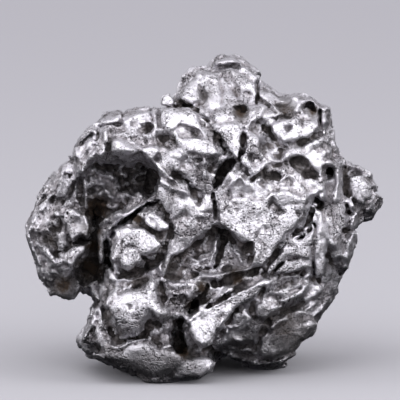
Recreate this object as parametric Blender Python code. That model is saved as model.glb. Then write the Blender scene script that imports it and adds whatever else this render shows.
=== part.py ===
"""Iron meteorite: one cleaned individual, about 35 mm long, built as one solid.

The stone is described on a sketch sheet, the way a modeller would carve it from one main
view: 40 mm square, its places counted in tenths of a millimetre from the left and the top
edge. Depth is counted in millimetres from the sheet towards the viewer. Big lumps give the
mass, plates stand proud of it, hollows, cracks and grooves cut into it, and a relief of
broken plates covers the sides and the back. All of it is one field of distances, which is
turned into one closed skin at the end. The stone stands on z = 0 as it lies on a table, the
main view looks along +Y, and the origin is under the middle of its box.
"""
import math

import bpy
import numpy as np

MM = 0.001                      # metres in a millimetre

# The sketch sheet and how it stands
TENTH = 0.1                     # one step on the sheet, in millimetres
SHEET_MIDDLE = 200              # the middle of the sheet, in steps from the left or the top
SHEET_LEAN = math.radians(7)    # the main view looks down by this angle
EYE_DISTANCE = 420.0            # distance of the eye from the sheet, for the perspective
SHEET_HEIGHT = 17.16            # height of the sheet's middle above the table
SHEET_SIDEWAYS = -0.54          # where the sheet's middle stands in x
SHEET_BACKWARDS = -1.13         # where the sheet's middle stands in y

# The block of space that the stone is carved from, in sheet millimetres
CELL = 0.42
BLOCK_LOW = (-19.0, -19.0, -16.0)
BLOCK_HIGH = (19.2, 15.8, 13.5)
FAR = 5.0                       # field value far outside the stone

# The skin after it is simplified
FACE_TARGET = 9400
SEAT_TOLERANCE = 0.03           # a point no higher than this lies on the table, in millimetres
SHARP_EDGE = math.radians(38)

# Metal
METAL_COLOUR = (0.56, 0.545, 0.57)
METAL_ROUGHNESS = 0.34

CUT = 0.65                      # how much of a drawn cut's depth is carved
SEED = 41


def sheet_points(steps):
    """Sketch steps, from the left and the top edge, to millimetres right and up."""
    return [((x - SHEET_MIDDLE) * TENTH, (SHEET_MIDDLE - y) * TENTH) for x, y in steps]


def outline_distance(points, u, v):
    """Distance to a closed outline, negative inside it."""
    nearest = np.full(u.shape, np.inf)
    inside = np.zeros(u.shape, dtype=bool)
    for (au, av), (bu, bv) in zip(points, points[1:] + points[:1]):
        run, rise = bu - au, bv - av
        along = np.clip(((u - au) * run + (v - av) * rise) / (run * run + rise * rise), 0, 1)
        nearest = np.minimum(nearest, (u - au - along * run) ** 2 + (v - av - along * rise) ** 2)
        if rise:
            passed = (av > v) != (bv > v)
            inside ^= passed & (u < au + (v - av) * run / rise)
    distance = np.sqrt(nearest)
    return np.where(inside, -distance, distance)


def line_share(points, widths, u, v):
    """Distance to a line as a share of its half width there, 1 at its edge."""
    share = np.full(u.shape, np.inf)
    spans = zip(points, points[1:], widths, widths[1:])
    for (au, av), (bu, bv), start, end in spans:
        run, rise = bu - au, bv - av
        along = np.clip(((u - au) * run + (v - av) * rise) / (run * run + rise * rise), 0, 1)
        away = np.hypot(u - au - along * run, v - av - along * rise)
        share = np.minimum(share, away / (start + (end - start) * along))
    return share


def soft_union(a, b, blend):
    """The nearer of two solids, with a fillet where they meet."""
    mix = np.clip(0.5 + 0.5 * (a - b) / blend, 0, 1)
    return a + (b - a) * mix - blend * mix * (1 - mix)


def soft_cut(a, b, blend):
    """Solid a with solid b taken out, with a rounded edge."""
    return -soft_union(-a, b, blend)


def round_corner(a, b, radius):
    """Where two walls meet, turned by a radius."""
    return (np.minimum(np.maximum(a, b) + radius, 0) - radius
            + np.hypot(np.maximum(a + radius, 0), np.maximum(b + radius, 0)))


def spline_weights(places, low, high, spacing):
    """Smooth weights of a row of knots from low to high, one row of the matrix for each place."""
    steps = (places - low) / spacing
    first = np.floor(steps).astype(int)
    t = steps - first
    weights = np.zeros((len(places), int((high - low) / spacing) + 5), dtype=np.float32)
    shares = ((1 - t) ** 3, 3 * t ** 3 - 6 * t ** 2 + 4, -3 * t ** 3 + 3 * t ** 2 + 3 * t + 1, t ** 3)
    for knot, share in enumerate(shares):
        weights[np.arange(len(places)), first + knot] = share / 6
    return weights


def smooth_noise(rng, axes, spacing):
    """A smooth random field over the axes, about -1 to 1, with bumps about one spacing wide."""
    weights = [spline_weights(axis, low, high, spacing)
               for axis, low, high in zip(axes, BLOCK_LOW, BLOCK_HIGH)]
    field = rng.standard_normal([w.shape[1] for w in weights]).astype(np.float32)
    for w in weights:
        field = np.tensordot(field, w, axes=(0, 1))
    return field / (3 * field.std())


class Stone:
    """A block of space with the distance to the stone's skin at each point, negative inside."""

    def __init__(self):
        self.axes = [np.arange(a, b, CELL, dtype=np.float32) for a, b in zip(BLOCK_LOW, BLOCK_HIGH)]
        self.u, self.v, self.w = self.axes
        self.field = np.full([len(a) for a in self.axes], FAR, dtype=np.float32)
        self.rng = np.random.default_rng(SEED)
        sway = [smooth_noise(self.rng, self.axes[:2], 4.0) * 0.22
                + smooth_noise(self.rng, self.axes[:2], 1.5) * 0.16 for _ in range(2)]
        self.flat_u = self.u[:, None] + sway[0]
        self.flat_v = self.v[None, :] + sway[1]
        self.ragged = (smooth_noise(self.rng, self.axes[:2], 0.5)
                       + smooth_noise(self.rng, self.axes[:2], 1.1)) * 0.5
        self.calm = np.zeros([len(self.u), len(self.v)], dtype=np.float32)

    def window(self, points, reach):
        """The part of the block around some points, as slices and its sheet places."""
        pick = []
        for axis, values in zip((self.u, self.v), zip(*points)):
            pick.append(slice(*np.searchsorted(axis, (min(values) - reach, max(values) + reach))))
        pick = tuple(pick)
        return pick, self.flat_u[pick], self.flat_v[pick]

    def plane(self, points, u, v, level, slope):
        """A leaning plane through the middle of an outline, as depths over the window."""
        middle_u, middle_v = np.mean(points, axis=0)
        return level + slope[0] * (u - middle_u) + slope[1] * (v - middle_v)

    def lump(self, steps, middle, slope, front, back, rim, blend=0.8):
        """A rounded mass with this outline, bulging to the front and to the back."""
        points = sheet_points(steps)
        pick, u, v = self.window(points, 4.0)
        away = (outline_distance(points, u, v)[..., None] + rim).clip(0) / rim
        depth = self.w - self.plane(points, u, v, middle, slope)[..., None]
        bulge = np.where(depth > 0, front, back)
        size = np.hypot(away, depth / bulge) + 1e-6
        steepness = np.hypot(away / rim, depth / bulge ** 2) + 1e-6
        solid = (size * (size - 1) / steepness).clip(-FAR, FAR)
        self.field[pick] = soft_union(self.field[pick], solid, blend)

    def plate(self, steps, level, slope=(0, 0), edge=0.35, depth=4.0, blend=0.3, calm=0.85):
        """A flat-topped crystal plate that stands proud of the mass behind it."""
        points = sheet_points(steps)
        pick, u, v = self.window(points, 2.0)
        side = outline_distance(points, u, v)[..., None]
        top = self.w - self.plane(points, u, v, level, slope)[..., None]
        lean = math.hypot(1, math.hypot(*slope))
        solid = np.maximum(round_corner(side, top / lean, edge), -depth - top)
        self.field[pick] = soft_union(self.field[pick], solid, blend)
        self.calm[pick] = np.maximum(self.calm[pick], np.clip(-side[..., 0] / 0.5, 0, 1) * calm)

    def hollow(self, steps, level, slope=(0, 0), edge=0.4, calm=0.0):
        """A hollow open to the front, with this outline and this floor; calm below 0 is rougher."""
        points = sheet_points(steps)
        pick, u, v = self.window(points, 2.0)
        side = outline_distance(points, u, v)[..., None]
        floor = self.plane(points, u, v, level, slope)[..., None] - self.w
        solid = round_corner(side, floor, edge)
        self.field[pick] = soft_cut(self.field[pick], solid, edge)
        outside = np.clip(0.5 + side[..., 0] / 0.5, 0, 1)
        self.calm[pick] = self.calm[pick] * outside + calm * (1 - outside)

    def press(self, pick, share, depth):
        """Push the front skin in by a depth, all of it at share 0 and none from share 1."""
        share = share * (1 + 0.7 * self.ragged[pick])
        fade = np.clip(1 - share, 0, 1) if depth > 0 else np.clip(1 - share ** 2, 0, 1) ** 1.5
        facing = np.clip((self.w - self.turning(pick)) / 1.5, 0, 1)
        self.field[pick] += CUT * depth * fade[..., None] * facing

    def turning(self, pick):
        """The depth at which the front turns into the back."""
        u, v = self.u[pick[0]][:, None, None], self.v[pick[1]][None, :, None]
        return -3.0 - 0.12 * u - 0.2 * v.clip(0)

    def groove(self, steps, widths, depth):
        """A groove along a line; a negative depth makes a ridge. Widths are in millimetres."""
        points = sheet_points(steps)
        if not isinstance(widths, (list, tuple)):
            widths = [widths] * len(points)
        pick, u, v = self.window(points, max(widths))
        share = line_share(points, [w / 2 for w in widths], u, v)
        self.press(pick, share, depth)

    def dent(self, place, size, depth, turn=0):
        """An oval dent; a negative depth makes a knob. Its size is in steps."""
        (u0, v0), = sheet_points([place])
        long, wide = size[0] * TENTH / 2, size[1] * TENTH / 2
        pick, u, v = self.window([(u0, v0)], max(long, wide))
        c, s = math.cos(math.radians(turn)), math.sin(math.radians(turn))
        across = ((u - u0) * c + (v - v0) * s) / long
        up = ((v - v0) * c - (u - u0) * s) / wide
        self.press(pick, np.hypot(across, up), depth)

    def sink(self, steps, depth, wall=0.6, lean=(0, 0)):
        """Press in the skin inside an outline, with sloping walls; a negative depth raises it."""
        points = sheet_points(steps)
        pick, u, v = self.window(points, 1.0)
        share = np.clip(0.3 - (outline_distance(points, u, v) + self.ragged[pick] * 0.3) / wall, 0, 1)
        amount = share * self.plane(points, u, v, depth, lean)
        facing = np.clip((self.w - self.turning(pick)) / 1.5, 0, 1)
        self.field[pick] += CUT * amount[..., None] * facing
        if depth > 0:
            self.calm[pick] *= 1 - share

    def facet(self, direction, distance, blend=0.25):
        """Break the mass off flat along a plane, given by its direction and its distance."""
        across, up, out = np.array(direction) / np.linalg.norm(direction)
        away = across * self.u[:, None, None] + up * self.v[None, :, None] + out * self.w
        self.field = -soft_union(-self.field, distance - away, blend)

    def scoop(self, across, out, wide, deep, lift, blend=0.5):
        """Hollow the underside over a spot of the table, up to a lift above it."""
        tall = 3.0
        up = -(SHEET_HEIGHT + out * math.sin(SHEET_LEAN)) / math.cos(SHEET_LEAN) + lift - tall
        size = np.sqrt(((self.u[:, None, None] - across) / wide) ** 2
                       + ((self.v[None, :, None] - up) / tall) ** 2
                       + ((self.w - out) / deep) ** 2)
        self.field = soft_cut(self.field, (size - 1) * min(wide, deep, tall), blend)

    def foot(self, across, out, wide, tall, blend=1.0):
        """A low knob under the stone that reaches the table at this spot."""
        up = (tall * 0.6 - SHEET_HEIGHT - out * math.sin(SHEET_LEAN)) / math.cos(SHEET_LEAN)
        size = np.sqrt(((self.u[:, None, None] - across) / wide) ** 2
                       + ((self.v[None, :, None] - up) / tall) ** 2
                       + ((self.w - out) / wide) ** 2)
        self.field = soft_union(self.field, (size - 1) * min(wide, tall), blend)

    def height(self):
        """Height of every point of the block above the table."""
        lean, shrink = SHEET_LEAN, 1 - self.w / EYE_DISTANCE
        up = self.v[None, :, None] * math.cos(lean) * shrink
        return SHEET_HEIGHT + up + self.w * math.sin(lean)


def main_mass(stone):
    """The lumps that make the mass, from the big one to the lobes."""
    stone.lump([(92, 127), (105, 116), (135, 110), (162, 108), (200, 108), (245, 98), (300, 108),
                (328, 122), (342, 150), (350, 168), (353, 195), (356, 228), (351, 256),
                (341, 280), (324, 309), (314, 335), (290, 358), (263, 368), (228, 360),
                (204, 372), (170, 374), (143, 370), (107, 357), (88, 341), (93, 324),
                (94, 307), (90, 290), (82, 262), (76, 235), (70, 200), (76, 160)],
               middle=-2.0, slope=(-0.16, -0.1), front=9.6, back=11.0, rim=11.5)
    stone.lump([(163, 100), (177, 92), (187, 79), (195, 70), (211, 66), (221, 57), (235, 57),
                (244, 63), (256, 74), (257, 81), (272, 87), (283, 94), (296, 94), (309, 98),
                (323, 105), (332, 112), (336, 136), (330, 165), (200, 165), (165, 140)],
               middle=-5.0, slope=(-0.12, -0.75), front=6.5, back=5.5, rim=4.5)
    stone.lump([(24, 237), (27, 225), (35, 203), (45, 178), (51, 171), (56, 165), (66, 160),
                (78, 150), (92, 150), (100, 180), (104, 215), (102, 240), (92, 262), (82, 292),
                (74, 302), (65, 301), (53, 294), (39, 281), (35, 268), (27, 248)],
               middle=-0.5, slope=(0.12, 0.0), front=4.6, back=7.0, rim=4.2)
    stone.lump([(322, 158), (345, 160), (359, 162), (371, 171), (376, 185), (378, 195), (374, 207),
                (366, 219), (357, 228), (345, 236), (322, 230)],
               middle=-5.6, slope=(-0.25, 0.0), front=3.8, back=4.2, rim=2.6)
    stone.lump([(66, 225), (100, 215), (125, 240), (122, 310), (100, 322), (93, 300), (80, 298),
                (68, 280)], middle=-4.0, slope=(0.1, 0.0), front=3.0, back=4.0, rim=1.6)


def faces(stone):
    """The broad faces of the front, from which the plates stand out only a little."""
    stone.plate([(150, 160), (178, 157), (206, 160), (226, 163), (250, 178), (272, 190), (305, 187),
                 (317, 194), (315, 216), (304, 232), (288, 245), (276, 258), (262, 268), (236, 278),
                 (214, 282), (185, 284), (160, 285), (157, 270), (164, 250), (169, 232), (166, 214),
                 (154, 200)], level=7.9, slope=(-0.13, 0.05), edge=0.8, blend=0.6, calm=0.3)
    stone.plate([(106, 236), (122, 226), (142, 208), (160, 204), (172, 224), (170, 252), (165, 285),
                 (204, 286), (198, 302), (190, 320), (174, 334), (150, 342), (122, 342), (100, 328),
                 (98, 300), (102, 270)], level=7.7, slope=(0.12, 0.05), edge=1.8, blend=1.0, calm=0.0)
    stone.plate([(192, 312), (225, 294), (260, 280), (312, 262), (318, 276), (303, 300), (276, 318),
                 (262, 340), (240, 352), (222, 350), (206, 346), (192, 338)],
                level=5.9, slope=(-0.28, 0.3), edge=1.6, blend=1.0, calm=0.0)
    stone.plate([(296, 272), (312, 250), (330, 236), (355, 240), (353, 256), (349, 268), (342, 280),
                 (337, 294), (325, 309), (318, 324), (315, 335), (304, 343), (294, 356), (280, 363),
                 (262, 366), (250, 356), (262, 330), (282, 305)],
                level=1.6, slope=(-0.5, 0.3), edge=1.8, blend=1.0, calm=0.3)
    stone.plate([(194, 116), (226, 106), (262, 102), (300, 102), (326, 114), (332, 140), (330, 166),
                 (324, 198), (300, 204), (264, 204), (238, 194), (218, 178), (204, 165), (196, 150)],
                level=6.1, slope=(-0.25, -0.3), edge=1.2, blend=0.8, calm=0.0)


def upper_left_block(stone):
    """The block at the upper left, a brow over the cave, with plates on its crown."""
    stone.lump([(72, 156), (83, 135), (92, 127), (100, 121), (105, 114), (118, 109), (135, 108),
                (160, 107), (188, 107), (198, 116), (212, 130), (222, 150), (215, 166), (198, 172),
                (170, 172), (155, 160), (130, 165), (105, 162), (92, 170), (74, 172)],
               middle=2.2, slope=(0.0, -0.35), front=6.2, back=8.0, rim=2.8)
    stone.plate([(104, 120), (122, 113), (160, 112), (190, 112), (200, 124), (214, 136), (218, 152),
                 (208, 166), (182, 168), (158, 160), (140, 157), (112, 157), (99, 152), (98, 132)],
                level=8.2, slope=(0.02, -0.42), edge=1.2, blend=0.8, calm=0.2)
    stone.plate([(100, 123), (101, 119), (105, 115), (118, 109), (124, 111), (120, 121), (112, 123)],
                level=6.2, slope=(0.3, -1.0), edge=0.4)
    stone.plate([(127, 113), (134, 109), (151, 110), (150, 118), (140, 120), (130, 123), (122, 121)],
                level=6.8, slope=(0.1, -0.9), edge=0.4)
    stone.plate([(159, 112), (161, 109), (175, 108), (190, 108), (195, 112), (197, 120), (203, 129),
                 (202, 134), (190, 129), (180, 127), (174, 131), (166, 132), (160, 127)],
                level=8.0, slope=(0.0, -0.55), edge=0.4)
    stone.dent((154, 114), (7, 8), -0.6)
    stone.plate([(110, 143), (113, 138), (120, 137), (128, 141), (136, 146), (138, 152), (132, 156),
                 (122, 158), (114, 156), (110, 151)], level=10.0, slope=(0.05, -0.35), edge=1.0,
                blend=0.5)
    stone.plate([(103, 126), (108, 124), (110, 131), (109, 143), (106, 153), (99, 158), (96, 155),
                 (98, 147), (100, 137), (99, 130)], level=8.4, slope=(0.6, -0.3), edge=0.5)
    stone.plate([(138, 148), (148, 144), (156, 145), (161, 151), (154, 163), (147, 161), (141, 155)],
                level=9.3, slope=(0.05, -0.2), edge=0.6)
    stone.plate([(184, 136), (196, 134), (206, 137), (214, 145), (220, 154), (212, 158), (200, 158),
                 (188, 154), (178, 148), (176, 140)], level=8.9, slope=(0.0, -0.3), edge=0.5)
    stone.sink([(134, 129), (139, 125), (149, 124), (153, 128), (149, 133), (138, 133)], 0.7, 0.5,
               (0, 0.4))
    stone.sink([(127, 137), (134, 135), (152, 137), (156, 143), (146, 143), (137, 145)], 0.5, 0.5)
    stone.sink([(157, 133), (165, 132), (172, 137), (179, 148), (181, 156), (174, 151), (166, 146),
                (160, 141)], 1.5, 0.8)
    stone.sink([(186, 127), (194, 130), (203, 135), (201, 138), (192, 134)], 0.8, 0.4)
    stone.sink([(111, 124), (122, 122), (140, 121), (138, 126), (126, 131), (112, 134)], 0.3, 0.4)
    stone.groove([(124, 109), (122, 116), (118, 123), (106, 123), (100, 126)], 0.4, 0.7)
    stone.groove([(152, 107), (150, 114), (152, 121)], 0.35, 0.8)
    stone.groove([(159, 110), (158, 118), (160, 128)], 0.35, 0.6)
    stone.groove([(110, 128), (110, 140), (108, 150)], 0.4, 0.6)
    stone.groove([(99, 125), (96, 138), (91, 148), (82, 158)], 0.5, 0.8)
    stone.groove([(97, 128), (93, 141), (88, 150)], 0.5, -0.4)
    stone.sink([(79, 143), (84, 136), (91, 132), (93, 135), (87, 141)], 0.6, 0.4)
    stone.groove([(75, 155), (76, 144), (82, 136), (91, 129)], 0.6, -0.5)
    stone.groove([(183, 157), (196, 160), (210, 160)], 0.5, 0.5)
    stone.sink([(173, 158), (186, 157), (194, 161), (191, 170), (178, 174)], 1.2, 0.6, (0.1, 0.5))
    stone.sink([(188, 177), (204, 177), (207, 184), (194, 187)], 0.7, 0.5, (0, 0.4))
    stone.groove([(174, 175), (184, 184), (196, 197)], [0.5, 0.8, 0.7], 1.0)
    stone.groove([(203, 161), (203, 176)], 0.7, -0.6)
    stone.groove([(156, 163), (168, 178), (184, 188)], 0.6, -0.6)
    stone.groove([(160, 182), (172, 190), (187, 194)], 0.7, -0.6)
    stone.sink([(172, 196), (186, 197), (198, 200), (196, 206), (180, 205)], 0.6, 0.6, (0, 0.5))
    stone.groove([(150, 196), (160, 206), (168, 214)], 0.6, 0.7)


def cave(stone):
    """The deep cave at the left, under the brow, and its run down behind the lower block."""
    stone.hollow([(90, 166), (98, 161), (112, 160), (128, 161), (150, 167), (157, 180), (154, 194),
                  (142, 204), (122, 216), (106, 224), (92, 220), (85, 205), (85, 180)],
                 level=3.6, slope=(-0.4, 0.1), edge=0.7, calm=-1.2)
    stone.sink([(124, 170), (140, 166), (156, 174), (154, 186), (136, 194), (120, 184)], 2.6, 1.6)
    stone.sink([(88, 200), (98, 198), (108, 206), (106, 218), (96, 222), (88, 214)], 1.6, 1.0)
    stone.groove([(116, 184), (130, 190), (140, 200)], 1.2, 1.2)
    stone.groove([(92, 190), (100, 200), (98, 212)], 1.0, 1.0)
    stone.hollow([(92, 214), (102, 222), (106, 240), (108, 262), (102, 280), (88, 286), (80, 272),
                  (90, 250), (93, 232)], level=-1.0, slope=(0.0, 0.1), edge=0.7)
    stone.groove([(94, 152), (86, 164), (77, 177)], 0.9, -1.0)
    stone.groove([(84, 172), (85, 206)], 0.7, -0.9)
    stone.groove([(88, 186), (100, 180), (114, 186), (128, 184)], 1.2, -0.9)
    stone.groove([(119, 171), (127, 175), (137, 172)], 0.8, -0.9)
    stone.groove([(90, 196), (104, 193), (118, 200), (132, 194)], 1.2, -0.8)
    stone.groove([(104, 184), (110, 196), (108, 206)], 0.9, -0.6)
    stone.groove([(88, 162), (102, 166), (116, 168), (122, 178)], 1.0, 0.9)
    stone.groove([(98, 172), (112, 178), (124, 176)], 0.8, -0.9)
    stone.groove([(92, 178), (106, 190), (122, 192), (136, 200)], 0.8, -0.9)
    stone.groove([(110, 172), (118, 186), (112, 202)], 0.7, -0.7)
    stone.groove([(100, 205), (112, 208), (124, 204), (134, 197)], 0.8, -0.8)
    stone.groove([(140, 168), (146, 178), (142, 190)], 0.6, -0.5)
    stone.plate([(131, 203), (137, 192), (143, 195), (150, 200), (140, 207), (130, 215), (118, 216)],
                level=6.2, slope=(0.25, 0.2), edge=0.4)
    stone.plate([(127, 211), (117, 213), (107, 217), (100, 226), (95, 236), (96, 250), (99, 264),
                 (104, 263), (105, 246), (109, 233), (119, 225), (128, 219)],
                level=5.4, slope=(0.25, 0.1), edge=0.6)
    stone.dent((119, 216), (14, 8), -1.0, 20)
    stone.dent((107, 221), (12, 7), -0.9, 45)
    stone.groove([(158, 201), (148, 205), (138, 213), (128, 221), (116, 229), (110, 238)],
                 [0.4, 0.6, 0.7, 0.7, 0.6, 0.5], 3.0)


def left_lobe(stone):
    """The lobe at the far left, with a long ridge and two rough heads."""
    stone.groove([(56, 177), (52, 195), (42, 206), (33, 223), (28, 235), (32, 250), (38, 264)],
                 [0.7, 0.8, 0.9, 0.8, 0.9, 0.8, 0.6], -0.8)
    stone.groove([(46, 186), (36, 205), (29, 224)], 0.5, -0.5)
    stone.groove([(48, 205), (41, 218), (36, 232)], 0.5, -0.5)
    stone.groove([(52, 200), (45, 212), (38, 224)], 0.35, 0.6)
    stone.plate([(56, 175), (75, 175), (76, 164), (70, 159), (60, 166)],
                level=3.0, slope=(0.4, -0.4), edge=0.4)
    stone.plate([(58, 179), (74, 178), (67, 196), (59, 200), (57, 190)],
                level=4.7, slope=(0.15, -0.1), edge=0.35)
    stone.groove([(56, 177), (75, 177)], 0.4, 0.6)
    stone.groove([(76, 180), (68, 198), (62, 205)], 0.5, 0.5)
    stone.plate([(67, 210), (73, 209), (82, 214), (87, 224), (88, 238), (80, 241), (72, 246), (66, 240),
                 (62, 232), (62, 220)], level=5.6, slope=(0.05, -0.1), edge=0.6, calm=0.3)
    stone.plate([(62, 260), (66, 251), (74, 246), (84, 244), (91, 243), (86, 254), (78, 262), (72, 267),
                 (65, 265)], level=5.2, slope=(0.1, -0.1), edge=0.5, calm=0.4)
    stone.groove([(66, 250), (78, 243), (90, 242)], 0.5, 0.9)
    stone.sink([(72, 218), (80, 219), (84, 228), (76, 232), (69, 226)], 0.5, 0.5)
    stone.sink([(52, 221), (59, 220), (65, 228), (62, 234), (54, 231)], 1.3, 0.6)
    stone.sink([(39, 236), (48, 234), (56, 242), (62, 252), (58, 257), (48, 248), (40, 242)], 1.4, 0.6)
    stone.plate([(52, 212), (58, 212), (63, 217), (57, 220), (52, 217)], level=4.8, slope=(0, -0.4),
                edge=0.3)
    stone.groove([(39, 246), (46, 254), (55, 264)], 0.8, -0.7)
    stone.groove([(44, 246), (53, 256)], 0.5, -0.4)
    stone.dent((69, 157), (6, 6), -0.7)
    stone.dent((74, 160), (4, 8), 0.9)
    stone.sink([(42, 274), (60, 270), (76, 272), (90, 266), (90, 280), (78, 288), (64, 290), (50, 284)],
               0.8, 1.4, (0, -0.3))
    stone.groove([(62, 172), (60, 188), (54, 202)], 0.5, -0.5)
    stone.groove([(76, 178), (74, 196), (80, 208)], 0.5, -0.6)
    stone.groove([(50, 226), (56, 240), (60, 258)], 0.6, 0.8)
    stone.groove([(68, 214), (66, 232), (72, 246), (86, 240)], 0.4, 0.5)
    stone.groove([(84, 217), (87, 228), (86, 240)], 0.5, -0.6)


def middle_blocks(stone):
    """The two round blocks at the left of the middle, and the rough field between them."""
    stone.plate([(140, 216), (150, 209), (160, 212), (170, 222), (170, 231), (158, 234), (148, 228)],
                level=9.0, slope=(0.0, -0.3), edge=0.5, calm=0.4)
    stone.plate([(115, 232), (119, 229), (131, 228), (143, 228), (150, 232), (157, 237), (162, 246),
                 (158, 254), (150, 258), (143, 260), (135, 267), (129, 272), (122, 268), (117, 262),
                 (110, 261), (111, 250), (114, 240)], level=9.8, slope=(0.08, -0.12), edge=0.6)
    stone.sink([(116, 262), (128, 270), (144, 260), (160, 254), (158, 262), (140, 272), (128, 280),
                (116, 272)], 0.9, 0.6, (0, -0.5))
    stone.groove([(120, 232), (122, 243), (121, 254)], 0.3, 0.5)
    stone.groove([(127, 248), (135, 248), (138, 254), (142, 260)], 0.35, 0.7)
    stone.dent((112, 259), (8, 8), -0.6)
    stone.groove([(143, 225), (152, 231), (160, 236)], 0.4, 0.7)
    stone.groove([(146, 216), (154, 222), (158, 230)], 0.4, 0.6)
    stone.plate([(105, 308), (108, 298), (113, 292), (122, 289), (137, 286), (149, 275), (158, 281),
                 (162, 298), (172, 308), (171, 319), (162, 326), (152, 321), (143, 331), (131, 336),
                 (119, 333), (109, 322)], level=9.9, slope=(0.04, -0.02), edge=1.8, blend=0.5,
                calm=0.75)
    stone.dent((163, 313), (20, 20), -0.7)
    stone.groove([(152, 312), (158, 322)], 0.4, 0.5)
    stone.groove([(171, 231), (167, 241), (162, 254), (160, 270)], 0.4, 0.9)
    stone.groove([(108, 262), (117, 276), (134, 275), (150, 266), (161, 257)], 0.6, 1.3)
    stone.groove([(105, 306), (108, 296), (117, 288)], 0.7, -0.8)
    stone.groove([(119, 289), (134, 286)], 0.4, -0.4)
    stone.groove([(103, 308), (107, 322), (114, 332)], 0.8, 1.0)
    stone.groove([(94, 309), (91, 324), (84, 340)], 0.8, -0.7)
    stone.groove([(160, 283), (164, 296), (163, 308)], 0.4, 0.7)
    stone.sink([(124, 305), (130, 304), (132, 308), (126, 310)], 0.4, 0.3)
    stone.sink([(139, 292), (146, 295), (144, 299), (139, 296)], 0.4, 0.3)


def arrowhead(stone):
    """The broad central plateau, the step below it shaped as an arrowhead, and its slit."""
    stone.plate([(216, 213), (219, 200), (232, 195), (246, 196), (262, 200), (272, 192), (288, 191),
                 (300, 194), (305, 188), (307, 198), (306, 213), (298, 225), (284, 240), (276, 252),
                 (260, 267), (252, 262), (256, 250), (252, 242), (242, 243), (230, 232), (216, 225)],
                level=8.3, slope=(-0.14, -0.05), edge=0.3)
    stone.sink([(215, 226), (230, 234), (242, 245), (252, 243), (254, 256), (246, 268), (222, 274),
                (200, 276), (176, 282), (161, 280), (170, 260), (184, 252), (191, 244), (198, 238)],
               2.4, 0.4, (-0.05, 0.25))
    stone.groove([(216, 227), (229, 234), (241, 245), (249, 243)], [0.5, 0.8, 0.7, 0.2], 1.5)
    stone.groove([(215, 227), (199, 238), (186, 251), (171, 260)], [0.4, 0.6, 0.6, 0.4], 0.9)
    stone.groove([(222, 238), (220, 252), (215, 267)], [0.7, 0.6, 0.4], 2.2)
    stone.groove([(217, 240), (213, 252), (208, 265)], 0.5, -0.5)
    stone.groove([(212, 194), (215, 206), (214, 219)], [0.4, 0.55, 0.4], 2.2)
    stone.groove([(198, 213), (214, 212), (222, 212)], [0.2, 0.3, 0.2], 0.5)
    stone.groove([(228, 244), (236, 254), (240, 262)], 0.5, -0.4)
    stone.groove([(188, 258), (198, 262), (206, 258)], 0.5, -0.4)
    stone.groove([(192, 270), (206, 275), (218, 272), (223, 266)], 0.8, -0.8)
    stone.sink([(182, 270), (198, 276), (214, 278), (212, 284), (192, 284), (178, 278)], 1.0, 0.7,
               (0, -0.5))
    stone.groove([(169, 277), (175, 279), (182, 283)], 0.5, 1.2)
    stone.groove([(214, 284), (226, 279), (244, 274), (260, 267)], [0.7, 1.0, 1.0, 0.6], 1.6)
    stone.sink([(272, 194), (276, 202), (285, 211), (279, 212), (268, 206)], 0.9, 0.4)
    stone.sink([(261, 222), (270, 227), (263, 231)], 0.6, 0.25)
    stone.groove([(259, 227), (255, 235)], 0.3, 0.6)
    stone.sink([(296, 210), (301, 211), (300, 217)], 0.5, 0.25)
    stone.sink([(232, 207), (238, 208), (236, 213)], 0.5, 0.3)
    stone.groove([(226, 195), (231, 202), (236, 205)], 0.3, 0.5)
    stone.sink([(176, 212), (186, 213), (188, 224), (180, 228), (174, 220)], 0.4, 0.4)
    stone.hollow([(226, 161), (232, 165), (230, 173), (220, 185), (216, 193), (214, 181), (221, 169)],
                 level=3.5, edge=0.2)
    stone.hollow([(205, 166), (224, 160), (218, 173), (209, 172)], level=7.2, slope=(-0.25, 0.5),
                 edge=0.2)
    stone.groove([(226, 190), (234, 180), (238, 176), (245, 186)], 0.6, -0.5)


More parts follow.
